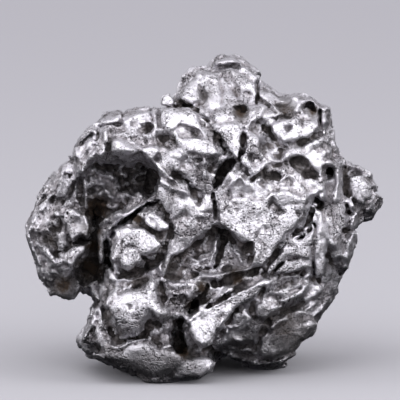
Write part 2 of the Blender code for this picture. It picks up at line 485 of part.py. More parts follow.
def trench_side(stone):
    """The trench along the plateau's lower right edge, and the plates on its other side."""
    stone.plate([(316, 222), (313, 240), (312, 258), (298, 257), (286, 259), (277, 268), (268, 276),
                 (264, 272), (283, 247), (300, 240), (308, 232)],
                level=6.6, slope=(-0.25, -0.05), edge=0.3)
    stone.plate([(274, 274), (286, 263), (300, 259), (312, 261), (313, 268), (300, 271), (287, 273)],
                level=6.2, slope=(-0.3, -0.1), edge=0.4)
    stone.sink([(276, 276), (312, 270), (314, 280), (300, 288), (282, 292), (268, 292)], 0.5, 0.6)
    stone.plate([(274, 300), (280, 295), (292, 291), (304, 283), (311, 275), (309, 286), (303, 296),
                 (293, 303), (282, 306)], level=5.4, slope=(-0.3, -0.1), edge=0.6)
    stone.plate([(268, 304), (284, 308), (298, 302), (308, 292), (314, 296), (303, 307), (290, 313),
                 (276, 316), (264, 316)], level=4.6, slope=(-0.35, 0.0), edge=0.6)
    stone.groove([(282, 268), (296, 264), (309, 262)], 0.4, 0.6)
    stone.groove([(276, 290), (292, 284), (306, 272)], 0.5, 0.7)
    stone.groove([(272, 284), (284, 278), (298, 276)], 0.4, -0.4)
    stone.groove([(268, 297), (284, 299), (300, 289)], 0.5, 0.7)
    stone.sink([(309, 195), (319, 191), (317, 206), (311, 221), (303, 229), (291, 240), (281, 250),
                (272, 259), (262, 268), (260, 266), (272, 252), (282, 239), (297, 225), (306, 212)],
               1.9, 0.35)
    stone.plate([(309, 213), (310, 205), (316, 197), (318, 200), (314, 208)],
                level=5.6, slope=(-0.2, -0.2), edge=0.25)
    stone.plate([(309, 195), (322, 181), (327, 183), (317, 194), (312, 198)],
                level=5.2, slope=(-0.2, -0.4), edge=0.3)
    stone.groove([(319, 200), (317, 212), (314, 222)], 0.9, 1.0)
    stone.groove([(299, 258), (287, 261), (279, 267), (271, 275)], 0.35, 0.9)
    stone.plate([(319, 222), (327, 219), (329, 235), (328, 258), (325, 274), (319, 276), (317, 250)],
                level=4.6, slope=(-0.5, 0.0), edge=0.5)
    stone.plate([(331, 228), (340, 226), (344, 240), (342, 256), (334, 262), (330, 248)],
                level=2.6, slope=(-0.5, 0.0), edge=0.5, calm=0.6)
    stone.plate([(345, 232), (355, 234), (354, 252), (348, 268), (342, 264), (345, 248)],
                level=1.0, slope=(-0.5, 0.0), edge=0.5, calm=0.6)
    stone.plate([(350, 176), (362, 173), (372, 184), (370, 200), (358, 206), (350, 196)],
                level=-1.2, slope=(-0.3, -0.1), edge=0.7, calm=0.5)
    stone.groove([(315, 224), (315, 246), (315, 274)], 0.7, 1.4)
    stone.groove([(331, 162), (338, 166), (339, 180), (334, 198)], 0.9, -1.0)
    stone.sink([(323, 166), (333, 166), (334, 176), (326, 178)], 0.7, 0.5)
    stone.groove([(346, 168), (344, 186), (346, 204)], 1.1, 1.0)
    stone.groove([(351, 165), (358, 165), (364, 169)], 0.8, -0.7)
    stone.groove([(352, 172), (366, 172)], 0.4, 0.6)
    stone.dent((371, 174), (6, 11), -0.6)
    stone.groove([(348, 201), (356, 212), (352, 225)], 1.0, -0.9)
    stone.dent((346, 212), (6, 8), 0.9)
    stone.dent((364, 203), (8, 12), -0.6, 20)
    stone.groove([(342, 229), (355, 230), (364, 222)], 0.5, 1.1)
    stone.groove([(352, 233), (349, 250), (346, 266)], 0.9, -0.9)
    stone.dent((335, 243), (10, 16), -0.6)
    stone.groove([(328, 255), (335, 263), (341, 273)], 0.5, 0.9)
    stone.sink([(314, 277), (321, 277), (321, 284), (316, 282)], 1.1, 0.4)
    stone.plate([(310, 291), (316, 282), (321, 285), (321, 291), (312, 299), (303, 304)],
                level=3.4, slope=(-0.4, -0.1), edge=0.35)
    stone.groove([(312, 300), (303, 308), (292, 311)], 0.6, 0.9)
    stone.groove([(328, 300), (320, 310), (312, 316)], 0.6, -0.5)


def lower_right(stone):
    """The bar across the lower middle, and the plates under it, down to the table."""
    stone.plate([(188, 323), (200, 311), (222, 299), (240, 289), (262, 280), (277, 277), (268, 290),
                 (251, 301), (238, 306), (228, 320), (217, 334), (211, 346), (201, 351), (192, 342)],
                level=8.6, slope=(-0.17, -0.25), edge=0.8, blend=0.4, calm=0.75)
    stone.groove([(187, 322), (200, 313), (222, 301), (240, 291), (262, 283)], 0.6, -0.5)
    stone.sink([(214, 318), (222, 312), (226, 316), (218, 324)], 0.4, 0.3)
    stone.plate([(166, 285), (176, 281), (190, 280), (199, 284), (201, 290), (194, 298), (188, 301),
                 (180, 298), (172, 302), (165, 306)], level=8.8, slope=(0.0, 0.0), edge=0.4, calm=0.4)
    stone.groove([(168, 289), (178, 293), (182, 290)], 0.35, 0.6)
    stone.groove([(168, 296), (176, 297)], 0.3, 0.5)
    stone.groove([(186, 284), (191, 290), (189, 297)], 0.5, -0.4)
    stone.groove([(196, 309), (210, 301), (222, 293), (233, 286), (243, 277)], 0.8, -0.9)
    stone.groove([(206, 308), (222, 298), (240, 288)], 0.4, 0.7)
    stone.sink([(270, 306), (276, 304), (284, 308), (276, 314), (264, 321), (256, 318), (257, 304)],
               -0.7, 0.4)
    stone.plate([(273, 329), (278, 323), (287, 320), (296, 323), (308, 319), (317, 323), (314, 331),
                 (305, 340), (296, 348), (286, 356), (273, 361), (262, 361), (259, 352), (265, 337)],
                level=3.4, slope=(-0.5, 0.4), edge=0.8, calm=0.5)
    stone.groove([(272, 329), (278, 323), (286, 320)], 0.6, -0.5)
    stone.sink([(232, 316), (246, 311), (254, 315), (252, 327), (240, 332), (230, 329)], -0.5, 0.5)
    stone.groove([(262, 289), (258, 298), (252, 304), (250, 312), (256, 319)],
                 [0.5, 0.7, 0.9, 0.8, 0.4], 1.5)
    stone.groove([(265, 322), (276, 316), (290, 311), (303, 303)], [0.5, 0.9, 0.7, 0.4], 1.3)
    stone.groove([(268, 323), (260, 338), (256, 352)], [0.5, 0.8, 0.6], 1.2)
    stone.groove([(220, 340), (226, 324), (236, 310)], 0.5, 0.9)
    stone.dent((238, 341), (14, 7), -0.8, -10)
    stone.dent((227, 333), (5, 8), -0.6)
    stone.groove([(230, 346), (240, 350), (252, 346)], 0.6, 0.7)
    stone.groove([(231, 357), (245, 363), (262, 366), (280, 363), (292, 358)], 0.7, -0.6)
    stone.hollow([(177, 321), (182, 318), (185, 322), (184, 334), (187, 350), (182, 353), (176, 344),
                  (174, 333)], level=1.5, edge=0.2)
    stone.sink([(184, 309), (190, 303), (198, 301), (197, 310), (190, 314)], 2.6, 0.5)
    stone.groove([(206, 286), (202, 294), (196, 302)], 0.8, 1.5)


def underside(stone):
    """The smooth mass at the lower left, the lump under the middle and the feet behind."""
    stone.lump([(82, 338), (94, 312), (112, 300), (140, 296), (172, 300), (188, 320), (194, 345),
                (190, 362), (176, 376), (155, 382), (143, 376), (126, 370), (107, 364), (90, 357),
                (81, 345)], middle=1.4, slope=(0.12, -0.16), front=6.0, back=8.0, rim=3.8, blend=1.6)
    stone.lump([(174, 368), (182, 362), (190, 358), (202, 356), (212, 359), (217, 365), (212, 372),
                (200, 378), (188, 379), (174, 375)], middle=3.5, slope=(0.0, 0.2), front=3.6,
               back=5.0, rim=1.4, blend=0.4)
    stone.groove([(112, 330), (120, 338), (132, 339), (143, 333)], 0.9, 1.5)
    stone.plate([(96, 356), (104, 344), (118, 345), (130, 342), (148, 337), (160, 345), (178, 346),
                 (187, 356), (184, 368), (172, 376), (155, 381), (143, 377), (126, 371), (107, 365)],
                level=8.5, slope=(0.06, -0.02), edge=1.8, blend=1.2, calm=0.85)
    stone.groove([(113, 345), (120, 347), (128, 343), (138, 339), (149, 338)], 0.6, -0.7)
    stone.sink([(160, 340), (170, 333), (174, 335), (179, 345), (165, 348)], -0.5, 0.3)
    stone.sink([(150, 330), (157, 327), (164, 331), (160, 337), (151, 336)], -0.4, 0.3)
    stone.groove([(160, 346), (168, 338), (173, 333)], 0.3, 0.5)
    stone.groove([(95, 320), (100, 334), (110, 342)], 0.9, -0.5)
    stone.groove([(144, 340), (160, 350), (178, 350)], 0.5, 0.3)
    stone.sink([(88, 347), (96, 344), (106, 351), (104, 356), (93, 354)], 1.4, 0.6)
    stone.dent((104, 359), (10, 5), -0.5, -10)
    stone.sink([(213, 353), (222, 352), (226, 358), (222, 364), (216, 361)], 1.6, 0.5)
    stone.lump([(140, 300), (260, 300), (290, 330), (268, 364), (225, 356), (190, 370), (140, 364),
                (118, 340)], middle=-8.5, slope=(0.0, 0.0), front=4.0, back=3.4, rim=4.0)
    for across, out, wide, deep, lift in ((1.5, -5.6, 4.6, 2.2, 1.0), (10.6, -8.0, 3.6, 4.0, 1.6),
                                          (-9.6, -4.4, 3.4, 4.4, 1.5), (0.0, -11.8, 2.6, 2.2, 1.2)):
        stone.scoop(across, out, wide, deep, lift)
    for across, out, wide in ((6.8, -3.4, 2.3), (-6.5, -8.4, 2.6), (5.6, -9.6, 2.5), (-3.5, 4.6, 2.6)):
        stone.foot(across, out, wide, tall=1.9)


def peak(stone):
    """The crumpled peak behind the crown, from its left facet to the knobs at the right."""
    stone.plate([(178, 98), (187, 84), (196, 74), (211, 70), (225, 66), (240, 67), (253, 78),
                 (260, 86), (271, 93), (264, 110), (240, 120), (214, 118), (190, 108)],
                level=1.0, slope=(-0.1, -0.75), edge=1.2, blend=0.8, calm=0.5)
    stone.plate([(256, 88), (272, 90), (283, 96), (296, 96), (309, 100), (322, 107), (330, 114),
                 (330, 124), (300, 122), (266, 116)],
                level=1.8, slope=(-0.3, -0.8), edge=1.0, blend=0.8, calm=0.3)
    stone.plate([(212, 63), (216, 58), (222, 56), (233, 56), (240, 60), (242, 63), (236, 64), (225, 65),
                 (215, 67)], level=-2.4, slope=(0.0, -1.0), edge=0.3)
    stone.plate([(196, 78), (186, 88), (178, 96), (182, 104), (192, 105), (200, 100), (199, 88)],
                level=0.7, slope=(0.4, -0.6), edge=0.4)
    stone.dent((200, 72), (10, 10), -0.7)
    stone.dent((205, 80), (8, 9), -0.5)
    stone.sink([(200, 84), (205, 88), (208, 98), (208, 106), (202, 110), (193, 106), (187, 107),
                (195, 103), (200, 99)], 1.2, 0.5)
    stone.plate([(208, 73), (216, 73), (219, 80), (220, 94), (217, 103), (210, 104), (208, 92), (205, 86)],
                level=1.3, slope=(0.0, -0.6), edge=0.4)
    stone.groove([(214, 67), (226, 66), (238, 65), (248, 70), (257, 76)], 0.5, 0.8)
    stone.groove([(220, 75), (222, 90), (221, 103), (214, 111)], 0.4, 0.7)
    stone.groove([(223, 74), (230, 85), (238, 96)], 0.7, 0.6)
    stone.plate([(229, 68), (240, 72), (255, 82), (255, 96), (248, 90), (240, 91), (234, 80)],
                level=1.0, slope=(-0.1, -0.6), edge=0.4)
    stone.groove([(231, 68), (244, 75), (255, 82)], 0.5, -0.4)
    stone.sink([(233, 106), (242, 103), (250, 107), (248, 116), (241, 120), (236, 114)], 1.1, 0.6)
    stone.groove([(256, 80), (257, 92), (255, 101)], 0.35, 0.9)
    stone.groove([(257, 96), (266, 103), (275, 111)], 0.6, 0.9)
    stone.plate([(258, 83), (262, 82), (269, 89), (271, 100), (263, 97), (258, 92)],
                level=-0.2, slope=(-0.1, -0.5), edge=0.3)
    stone.groove([(262, 104), (257, 114), (247, 125)], 1.0, -0.8)
    stone.plate([(212, 113), (220, 108), (227, 112), (228, 117), (222, 121), (214, 123)],
                level=5.2, slope=(0.0, -0.6), edge=0.35)
    stone.plate([(160, 110), (162, 96), (170, 92), (176, 97), (178, 110)], level=-0.2,
                slope=(0.2, -0.3), edge=0.7, blend=0.6)
    stone.groove([(171, 97), (177, 101), (184, 105)], 0.5, 0.9)
    stone.groove([(150, 107), (170, 106), (188, 106), (197, 111), (203, 118)], 0.5, 1.3)


def wedge_plates(stone):
    """The two plates right of the brow, with open cracks beside them."""
    stone.plate([(214, 125), (222, 121), (232, 120), (243, 125), (242, 140), (236, 158), (231, 156),
                 (226, 150), (221, 141), (217, 133)], level=7.4, slope=(0.0, -0.3), edge=0.3)
    stone.plate([(246, 128), (253, 131), (261, 137), (262, 147), (267, 155), (273, 163), (262, 172),
                 (252, 177), (240, 165), (238, 158), (243, 144)],
                level=7.3, slope=(-0.15, -0.25), edge=0.35)
    stone.groove([(203, 118), (208, 124), (214, 131), (219, 140), (223, 150)],
                 [0.7, 0.5, 0.45, 0.5, 0.4], 2.0)
    stone.sink([(202, 117), (208, 118), (215, 122), (212, 125), (205, 122)], 1.2, 0.4)
    stone.groove([(244, 126), (242, 140), (240, 150), (236, 160)], [0.4, 0.45, 0.4, 0.35], 1.6)
    stone.sink([(244, 153), (252, 151), (262, 156), (264, 165), (254, 170), (246, 164)], 0.5, 0.4)
    stone.sink([(253, 119), (262, 118), (266, 124), (260, 130), (254, 126)], 0.9, 0.5)


def upper_right(stone):
    """The striped slab, the hollows round it and the knobs along the right edge."""
    stone.plate([(268, 125), (274, 119), (283, 117), (298, 116), (303, 120), (315, 120), (320, 124),
                 (321, 132), (312, 137), (304, 141), (296, 144), (284, 146), (278, 141), (271, 134)],
                level=5.9, slope=(-0.25, -0.4), edge=0.5)
    stone.groove([(275, 128), (280, 136), (285, 145)], 0.3, 0.5)
    stone.groove([(281, 130), (285, 137), (290, 144)], 0.3, 0.5)
    stone.sink([(285, 127), (292, 127), (289, 133)], 0.6, 0.3)
    stone.groove([(302, 120), (304, 130), (301, 140)], 0.3, 0.3)
    stone.groove([(269, 128), (272, 137), (279, 145), (287, 148)], 0.4, 1.0)
    stone.groove([(298, 146), (308, 141), (320, 135)], 0.5, 0.9)
    stone.sink([(262, 125), (268, 130), (272, 138), (279, 146), (286, 150), (284, 160), (276, 161),
                (268, 153), (263, 142)], 1.0, 0.5, (0, 0.2))
    stone.groove([(320, 111), (321, 120), (323, 134)], 0.45, 1.2)
    stone.dent((327, 109), (12, 10), -0.9)
    stone.dent((326, 121), (9, 11), -0.7)
    stone.dent((294, 98), (14, 11), -0.8)
    stone.groove([(296, 113), (299, 105), (306, 101), (314, 102), (319, 109)], 0.8, -0.8)
    stone.sink([(303, 108), (308, 106), (315, 108), (316, 113), (305, 114)], 0.6, 0.4)
    stone.sink([(275, 102), (286, 100), (293, 106), (295, 114), (280, 115)], 0.6, 0.6)
    stone.groove([(270, 117), (284, 115), (300, 115)], 0.4, 0.6)
    stone.plate([(289, 156), (290, 149), (297, 146), (303, 150), (306, 154), (303, 158), (294, 159)],
                level=5.6, slope=(-0.1, -0.2), edge=0.3)
    stone.plate([(304, 143), (312, 146), (319, 150), (322, 157), (319, 164), (316, 171), (312, 165),
                 (308, 156)], level=4.7, slope=(-0.2, -0.2), edge=0.3)
    stone.dent((318, 142), (12, 10), -0.7)
    stone.dent((326, 152), (8, 10), -0.5)
    stone.sink([(290, 161), (300, 158), (308, 160), (313, 168), (316, 175), (311, 179), (303, 174),
                (295, 169)], 1.2, 0.5, (0, 0.4))
    stone.groove([(262, 140), (267, 152), (273, 162), (284, 163), (288, 155)], 0.4, -0.4)
    stone.groove([(250, 180), (262, 171), (272, 166), (287, 164)], [0.5, 0.8, 0.8, 0.5], 0.9)
    stone.sink([(260, 170), (272, 168), (282, 172), (276, 180), (266, 180)], 0.5, 0.5)
    stone.groove([(270, 180), (278, 181), (286, 175)], 0.4, -0.5)
    stone.sink([(252, 184), (262, 180), (268, 188), (258, 193)], 0.6, 0.5)


def behind(stone):
    """What the main view hides: humps, a shelf and flat breaks, in the style of the front."""
    stone.lump([(150, 150), (250, 130), (300, 190), (280, 280), (190, 300), (130, 240)],
               middle=-9.5, slope=(0.05, 0.1), front=3.0, back=4.4, rim=4.0, blend=0.8)
    stone.lump([(96, 180), (150, 150), (170, 210), (150, 270), (100, 260)],
               middle=-7.5, slope=(0.2, 0.0), front=3.0, back=3.8, rim=3.0, blend=0.5)
    stone.lump([(250, 250), (320, 230), (330, 280), (290, 330), (240, 310)],
               middle=-8.0, slope=(-0.1, 0.1), front=3.0, back=4.6, rim=3.0, blend=0.5)
    for direction, distance in (((0.2, 0.25, -1), 12.2), ((-0.5, 0.5, -1), 11.8),
                                ((0.8, -0.2, -1), 15.4), ((-0.9, -0.3, -1), 12.9),
                                ((0.1, -0.8, -1), 14.0), ((0.6, 0.9, -0.8), 14.8),
                                ((-1, 0.4, -0.4), 14.6), ((1, -0.7, -0.3), 15.3)):
        stone.facet(direction, distance)


def broken_plates(stone):
    """Cover the sides and the back with plates of broken crystal, with cracks in places."""
    spacing, stretch = 4.2, np.array((0.8, 1.35, 1.0))
    lift_height, crack_depth, crack_width = 0.8, 1.0, 0.35
    band = np.nonzero(np.abs(stone.field) < 2.2)
    sway = [0.6 * smooth_noise(stone.rng, stone.axes, 2.5)[band] for _ in range(3)]
    at = np.stack([axis[i] for axis, i in zip(stone.axes, band)], axis=1) + np.stack(sway, axis=1)
    at *= stretch / spacing
    home = np.floor(at).astype(int)
    low = np.floor(BLOCK_LOW * stretch / spacing).astype(int) - 2
    shape = tuple(np.ceil(BLOCK_HIGH * stretch / spacing).astype(int) + 3 - low)
    seeds = stone.rng.uniform(0.05, 0.95, shape + (3,))
    lifts = stone.rng.uniform(-1, 1, shape)
    leans = stone.rng.uniform(-1, 1, shape + (3,))
    first, second = np.full(len(at), 9.0), np.full(len(at), 9.0)
    lift = np.zeros(len(at))
    for offset in np.ndindex(3, 3, 3):
        cell = tuple((home - low - 1 + offset).T)
        away = at - (home - 1 + offset + seeds[cell])
        distance = np.sqrt((away ** 2).sum(axis=1))
        closer = distance < first
        second = np.where(closer, first, np.minimum(second, distance))
        lift = np.where(closer, lifts[cell] * 0.7 + (leans[cell] * away).sum(axis=1), lift)
        first = np.where(closer, distance, first)
    open_share = np.clip(smooth_noise(stone.rng, stone.axes, 3.0)[band] * 3, 0, 1)
    crack = open_share * np.exp(-((second - first) * spacing / crack_width) ** 2)
    turn = stone.turning(np.s_[:, :])[band[0], band[1], 0]
    behind_share = 0.12 + 0.88 * np.clip((turn + 1.5 - stone.w[band[2]]) / 2.5, 0, 1)
    stone.field[band] += behind_share * (crack_depth * crack - lift_height * lift)


def cobbles(stone, spacing, band):
    """Rounded lumps that meet in sharp creases, about -0.5 to 0.5, at the points of a band."""
    at = np.stack([axis[i] for axis, i in zip(stone.axes, band)], axis=1) / spacing
    home = np.floor(at).astype(int)
    low = np.floor(np.array(BLOCK_LOW) / spacing).astype(int) - 1
    shape = tuple(np.ceil(np.array(BLOCK_HIGH) / spacing).astype(int) + 2 - low)
    seeds = stone.rng.uniform(0.1, 0.9, shape + (3,)).astype(np.float32)
    leans = stone.rng.uniform(-0.9, 0.9, shape + (3,)).astype(np.float32)
    lifts = stone.rng.uniform(-0.3, 0.3, shape).astype(np.float32)
    highest = np.full(len(at), -9.0)
    for offset in np.ndindex(3, 3, 3):
        near = home - 1 + offset
        cell = tuple((near - low).T)
        away = at - (near + seeds[cell])
        lump = lifts[cell] + (leans[cell] * away).sum(axis=1) - 1.1 * (away ** 2).sum(axis=1)
        highest = np.maximum(highest, lump)
    return highest


def crumple(stone):
    """Small uneven swells all over, and lumps with creases between them off the flat plates."""
    band = np.nonzero(np.abs(stone.field) < 2.0)
    rough = 1 - stone.calm[band[:2]] * np.clip((stone.w[band[2]] + 4) / 2, 0, 1)
    for spacing, height in ((3.4, 0.3), (1.5, 0.1)):
        stone.field[band] -= height * rough * smooth_noise(stone.rng, stone.axes, spacing)[band]
    for spacing, height in ((2.3, 0.32), (1.1, 0.2)):
        stone.field[band] -= height * rough * cobbles(stone, spacing, band)


def stand(stone):
    """Cut the stone off flat where it touches the table."""
    stone.field = np.maximum(stone.field, -stone.height())


def close_diagonals(field):
    """Fill the few points where the solid would touch itself only across a diagonal."""
    for _ in range(40):
        inside = field < 0
        fill = np.zeros_like(inside)
        for axis in range(3):
            near = np.moveaxis(inside, axis, 0)
            a, b = near[:, :-1, :-1], near[:, 1:, :-1]
            c, d = near[:, :-1, 1:], near[:, 1:, 1:]
            crossed = (a == d) & (b == c) & (a != b)
            target = np.moveaxis(fill, axis, 0)
            for i, j in np.ndindex(2, 2):
                target[:, i:i + crossed.shape[1], j:j + crossed.shape[2]] |= crossed
        corners = [inside[tuple(slice(o, n - 1 + o) for o, n in zip(offset, inside.shape))]
                   for offset in np.ndindex(2, 2, 2)]
        total = sum(c.astype(np.int8) for c in corners)
        for k in range(4):
            for both, count in ((corners[k] & corners[7 - k], 2), (~corners[k] & ~corners[7 - k], 6)):
                alone = both & (total == count)
                for offset in np.ndindex(2, 2, 2):
                    fill[tuple(slice(o, n - 1 + o) for o, n in zip(offset, inside.shape))] |= alone
        fill &= ~inside
        if not fill.any():
            return field
        field = np.where(fill, -0.05 * CELL, field)
    raise RuntimeError("the field still touches itself across a diagonal")


def skin(field):
    """The closed skin where the field crosses zero: points in grid steps, and quads."""
    inside = field < 0
    sizes = np.array(field.shape)
    cell_sizes = sizes - 1
    crossings = []
    for axis in range(3):
        step = np.eye(3, dtype=int)[axis]
        a = field[tuple(slice(0, n - s) for n, s in zip(sizes, step))]
        b = field[tuple(slice(s, n) for n, s in zip(sizes, step))]
        where = np.argwhere((a < 0) != (b < 0))
        start, end = a[tuple(where.T)], b[tuple(where.T)]
        place = where + (start / (start - end))[:, None] * step
        around = []
        p, q = np.eye(3, dtype=int)[(axis + 1) % 3], np.eye(3, dtype=int)[(axis + 2) % 3]
        for cell in (where - p - q, where - q, where, where - p):
            around.append(np.ravel_multi_index(cell.T, cell_sizes))
        quads = np.stack(around, axis=1)
        quads[start > 0] = quads[start > 0][:, ::-1]
        crossings.append((place, quads))
    cells, ids = np.unique(np.concatenate([q for _, q in crossings]), return_inverse=True)
    quads = ids.reshape(-1, 4)
    places = np.repeat(np.concatenate([p for p, _ in crossings]), 4, axis=0)
    number = np.bincount(quads.ravel(), minlength=len(cells))
    points = [np.bincount(quads.ravel(), weights=places[:, k]) / number for k in range(3)]
    return np.stack(points, axis=1), quads


def largest_shell(points, quads):
    """Keep the stone's own skin, without the loose crumbs and the bubbles inside."""
    label = np.arange(len(points))
    while True:
        lowest = label[quads].min(axis=1)
        update = label.copy()
        for corner in range(4):
            np.minimum.at(update, quads[:, corner], lowest)
        update = update[update]
        if (update == label).all():
            break
        label = update
    names, counts = np.unique(label, return_counts=True)
    keep = label == names[counts.argmax()]
    renumber = np.cumsum(keep) - 1
    return points[keep], renumber[quads[keep[quads[:, 0]]]]


def stand_up(stone, steps):
    """Grid steps to metres, with the sheet leaning back and the table at z = 0."""
    u, v, w = (axis[0] + steps[:, k] * CELL for k, axis in enumerate(stone.axes))
    shrink = 1 - w / EYE_DISTANCE
    lean_cos, lean_sin = math.cos(SHEET_LEAN), math.sin(SHEET_LEAN)
    x = SHEET_SIDEWAYS + u * shrink
    y = SHEET_BACKWARDS + v * shrink * lean_sin - w * lean_cos
    z = SHEET_HEIGHT + v * shrink * lean_cos + w * lean_sin
    return np.stack([x, y, z], axis=1) * MM


def metal():
    """Bright iron, cleaned and slightly uneven."""
    material = bpy.data.materials.new("cleaned_iron")
    material.use_nodes = True
    shader = material.node_tree.nodes["Principled BSDF"]
    shader.inputs["Base Color"].default_value = (*METAL_COLOUR, 1)
    shader.inputs["Metallic"].default_value = 1.0
    shader.inputs["Roughness"].default_value = METAL_ROUGHNESS
    return material


REGIONS = (main_mass, behind, underside, faces, upper_left_block, cave, left_lobe, peak, wedge_plates,
           upper_right, middle_blocks, arrowhead, trench_side, lower_right)


def carve():
    """Carve the stone: mass first, then what stands on it, then what is cut into it."""
    stone = Stone()
    for step in REGIONS + (broken_plates, crumple, stand):
        step(stone)
    return stone


def simplified(meteorite):
    """Fewer faces where the skin is smooth, and a true flat face wherever it meets the table."""
    reduce = meteorite.modifiers.new("reduce", "DECIMATE")
    reduce.ratio = min(1.0, FACE_TARGET / (2 * len(meteorite.data.polygons)))
    graph = bpy.context.evaluated_depsgraph_get()
    mesh = bpy.data.meshes.new_from_object(meteorite.evaluated_get(graph))
    meteorite.modifiers.remove(reduce)
    for vertex in mesh.vertices:
        if vertex.co.z < SEAT_TOLERANCE * MM:
            vertex.co.z = 0
    mesh.shade_smooth()
    mesh.set_sharp_from_angle(angle=SHARP_EDGE)
    return mesh


def main():
    for old in list(bpy.data.objects):
        bpy.data.objects.remove(old, do_unlink=True)
    stone = carve()
    steps, quads = largest_shell(*skin(close_diagonals(stone.field)))
    mesh = bpy.data.meshes.new("skin")
    mesh.from_pydata(stand_up(stone, steps).tolist(), [], quads.tolist())
    meteorite = bpy.data.objects.new("meteorite", mesh)
    bpy.context.scene.collection.objects.link(meteorite)
    meteorite.data = simplified(meteorite)
    meteorite.data.name = "meteorite"
    meteorite.data.materials.clear()
    meteorite.data.materials.append(metal())
    bpy.data.meshes.remove(mesh)


main()
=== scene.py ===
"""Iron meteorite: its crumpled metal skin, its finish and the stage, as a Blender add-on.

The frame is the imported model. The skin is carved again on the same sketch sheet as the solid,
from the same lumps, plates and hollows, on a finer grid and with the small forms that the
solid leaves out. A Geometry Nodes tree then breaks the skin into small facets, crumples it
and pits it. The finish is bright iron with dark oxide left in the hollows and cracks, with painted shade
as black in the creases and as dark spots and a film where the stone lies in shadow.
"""
import math

import bpy
import numpy as np
from bpy.props import FloatProperty, FloatVectorProperty, IntProperty, PointerProperty
from bpy.types import Operator, Panel, PropertyGroup
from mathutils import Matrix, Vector


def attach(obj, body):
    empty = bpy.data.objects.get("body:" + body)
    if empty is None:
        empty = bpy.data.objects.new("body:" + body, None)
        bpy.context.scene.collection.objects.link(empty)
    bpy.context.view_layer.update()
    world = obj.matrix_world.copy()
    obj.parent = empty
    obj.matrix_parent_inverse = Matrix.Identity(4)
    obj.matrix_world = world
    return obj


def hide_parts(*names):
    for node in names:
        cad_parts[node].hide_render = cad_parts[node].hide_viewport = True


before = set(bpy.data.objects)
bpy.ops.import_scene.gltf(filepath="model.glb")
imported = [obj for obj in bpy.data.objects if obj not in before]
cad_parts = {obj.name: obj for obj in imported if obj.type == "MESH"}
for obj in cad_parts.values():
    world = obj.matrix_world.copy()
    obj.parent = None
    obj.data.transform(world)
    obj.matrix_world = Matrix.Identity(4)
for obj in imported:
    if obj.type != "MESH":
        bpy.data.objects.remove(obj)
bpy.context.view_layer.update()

bl_info = {
    "name": "Iron meteorite",
    "version": (1, 0, 0),
    "blender": (4, 5, 0),
    "location": "3D View > Sidebar > Meteorite",
    "description": "Carves, weathers and finishes an iron meteorite, and sets its stage",
    "category": "Object",
}

MM = 0.001                      # metres in a millimetre
NODE = "meteorite"              # the solid that the skin stands for

# The sketch sheet and how it stands, as in the solid
TENTH = 0.1                     # one step on the sheet, in millimetres
SHEET_MIDDLE = 200              # the middle of the sheet, in steps from the left or the top
SHEET_LEAN = math.radians(7)    # the main view looks down by this angle
EYE_DISTANCE = 420.0            # distance of the eye from the sheet, for the perspective
SHEET_HEIGHT = 17.16            # height of the sheet's middle above the table
SHEET_SIDEWAYS = -0.54          # where the sheet's middle stands in x
SHEET_BACKWARDS = -1.13         # where the sheet's middle stands in y
SHEET_SIDE = 40.0               # side of the sheet, in millimetres

# The block of space that the skin is carved from, in sheet millimetres
CELL = 0.16
BLOCK_LOW = (-19.0, -19.0, -16.0)
BLOCK_HIGH = (19.2, 15.8, 13.5)
FAR = 5.0                       # field value far outside the stone
CUT = 0.65                      # how much of a drawn cut's depth is carved
SEED = 41


def sheet_points(steps):
    """Sketch steps, from the left and the top edge, to millimetres right and up."""
    return [((x - SHEET_MIDDLE) * TENTH, (SHEET_MIDDLE - y) * TENTH) for x, y in steps]


def outline_distance(points, u, v):
    """Distance to a closed outline, negative inside it."""
    nearest = np.full(u.shape, np.inf)
    inside = np.zeros(u.shape, dtype=bool)
    for (au, av), (bu, bv) in zip(points, points[1:] + points[:1]):
        run, rise = bu - au, bv - av
        along = np.clip(((u - au) * run + (v - av) * rise) / (run * run + rise * rise), 0, 1)
        nearest = np.minimum(nearest, (u - au - along * run) ** 2 + (v - av - along * rise) ** 2)
        if rise:
            passed = (av > v) != (bv > v)
            inside ^= passed & (u < au + (v - av) * run / rise)
    distance = np.sqrt(nearest)
    return np.where(inside, -distance, distance)


def line_share(points, widths, u, v):
    """Distance to a line as a share of its half width there, 1 at its edge."""
    share = np.full(u.shape, np.inf)
    spans = zip(points, points[1:], widths, widths[1:])
    for (au, av), (bu, bv), start, end in spans:
        run, rise = bu - au, bv - av
        along = np.clip(((u - au) * run + (v - av) * rise) / (run * run + rise * rise), 0, 1)
        away = np.hypot(u - au - along * run, v - av - along * rise)
        share = np.minimum(share, away / (start + (end - start) * along))
    return share


def soft_union(a, b, blend):
    """The nearer of two solids, with a fillet where they meet."""
    mix = np.clip(0.5 + 0.5 * (a - b) / blend, 0, 1)
    return a + (b - a) * mix - blend * mix * (1 - mix)


def soft_cut(a, b, blend):
    """Solid a with solid b taken out, with a rounded edge."""
    return -soft_union(-a, b, blend)


def round_corner(a, b, radius):
    """Where two walls meet, turned by a radius."""
    return (np.minimum(np.maximum(a, b) + radius, 0) - radius
            + np.hypot(np.maximum(a + radius, 0), np.maximum(b + radius, 0)))


def spline_weights(places, low, high, spacing):
    """Smooth weights of a row of knots from low to high, one row of the matrix for each place."""
    steps = (places - low) / spacing
    first = np.floor(steps).astype(int)
    t = steps - first
    weights = np.zeros((len(places), int((high - low) / spacing) + 5), dtype=np.float32)
    shares = ((1 - t) ** 3, 3 * t ** 3 - 6 * t ** 2 + 4, -3 * t ** 3 + 3 * t ** 2 + 3 * t + 1, t ** 3)
    for knot, share in enumerate(shares):
        weights[np.arange(len(places)), first + knot] = share / 6
    return weights


def turning_depth(u, v):
    """The depth at which the stone's front turns into its back, over places on the sheet."""
    return -3.0 - 0.12 * u - 0.2 * v.clip(0)


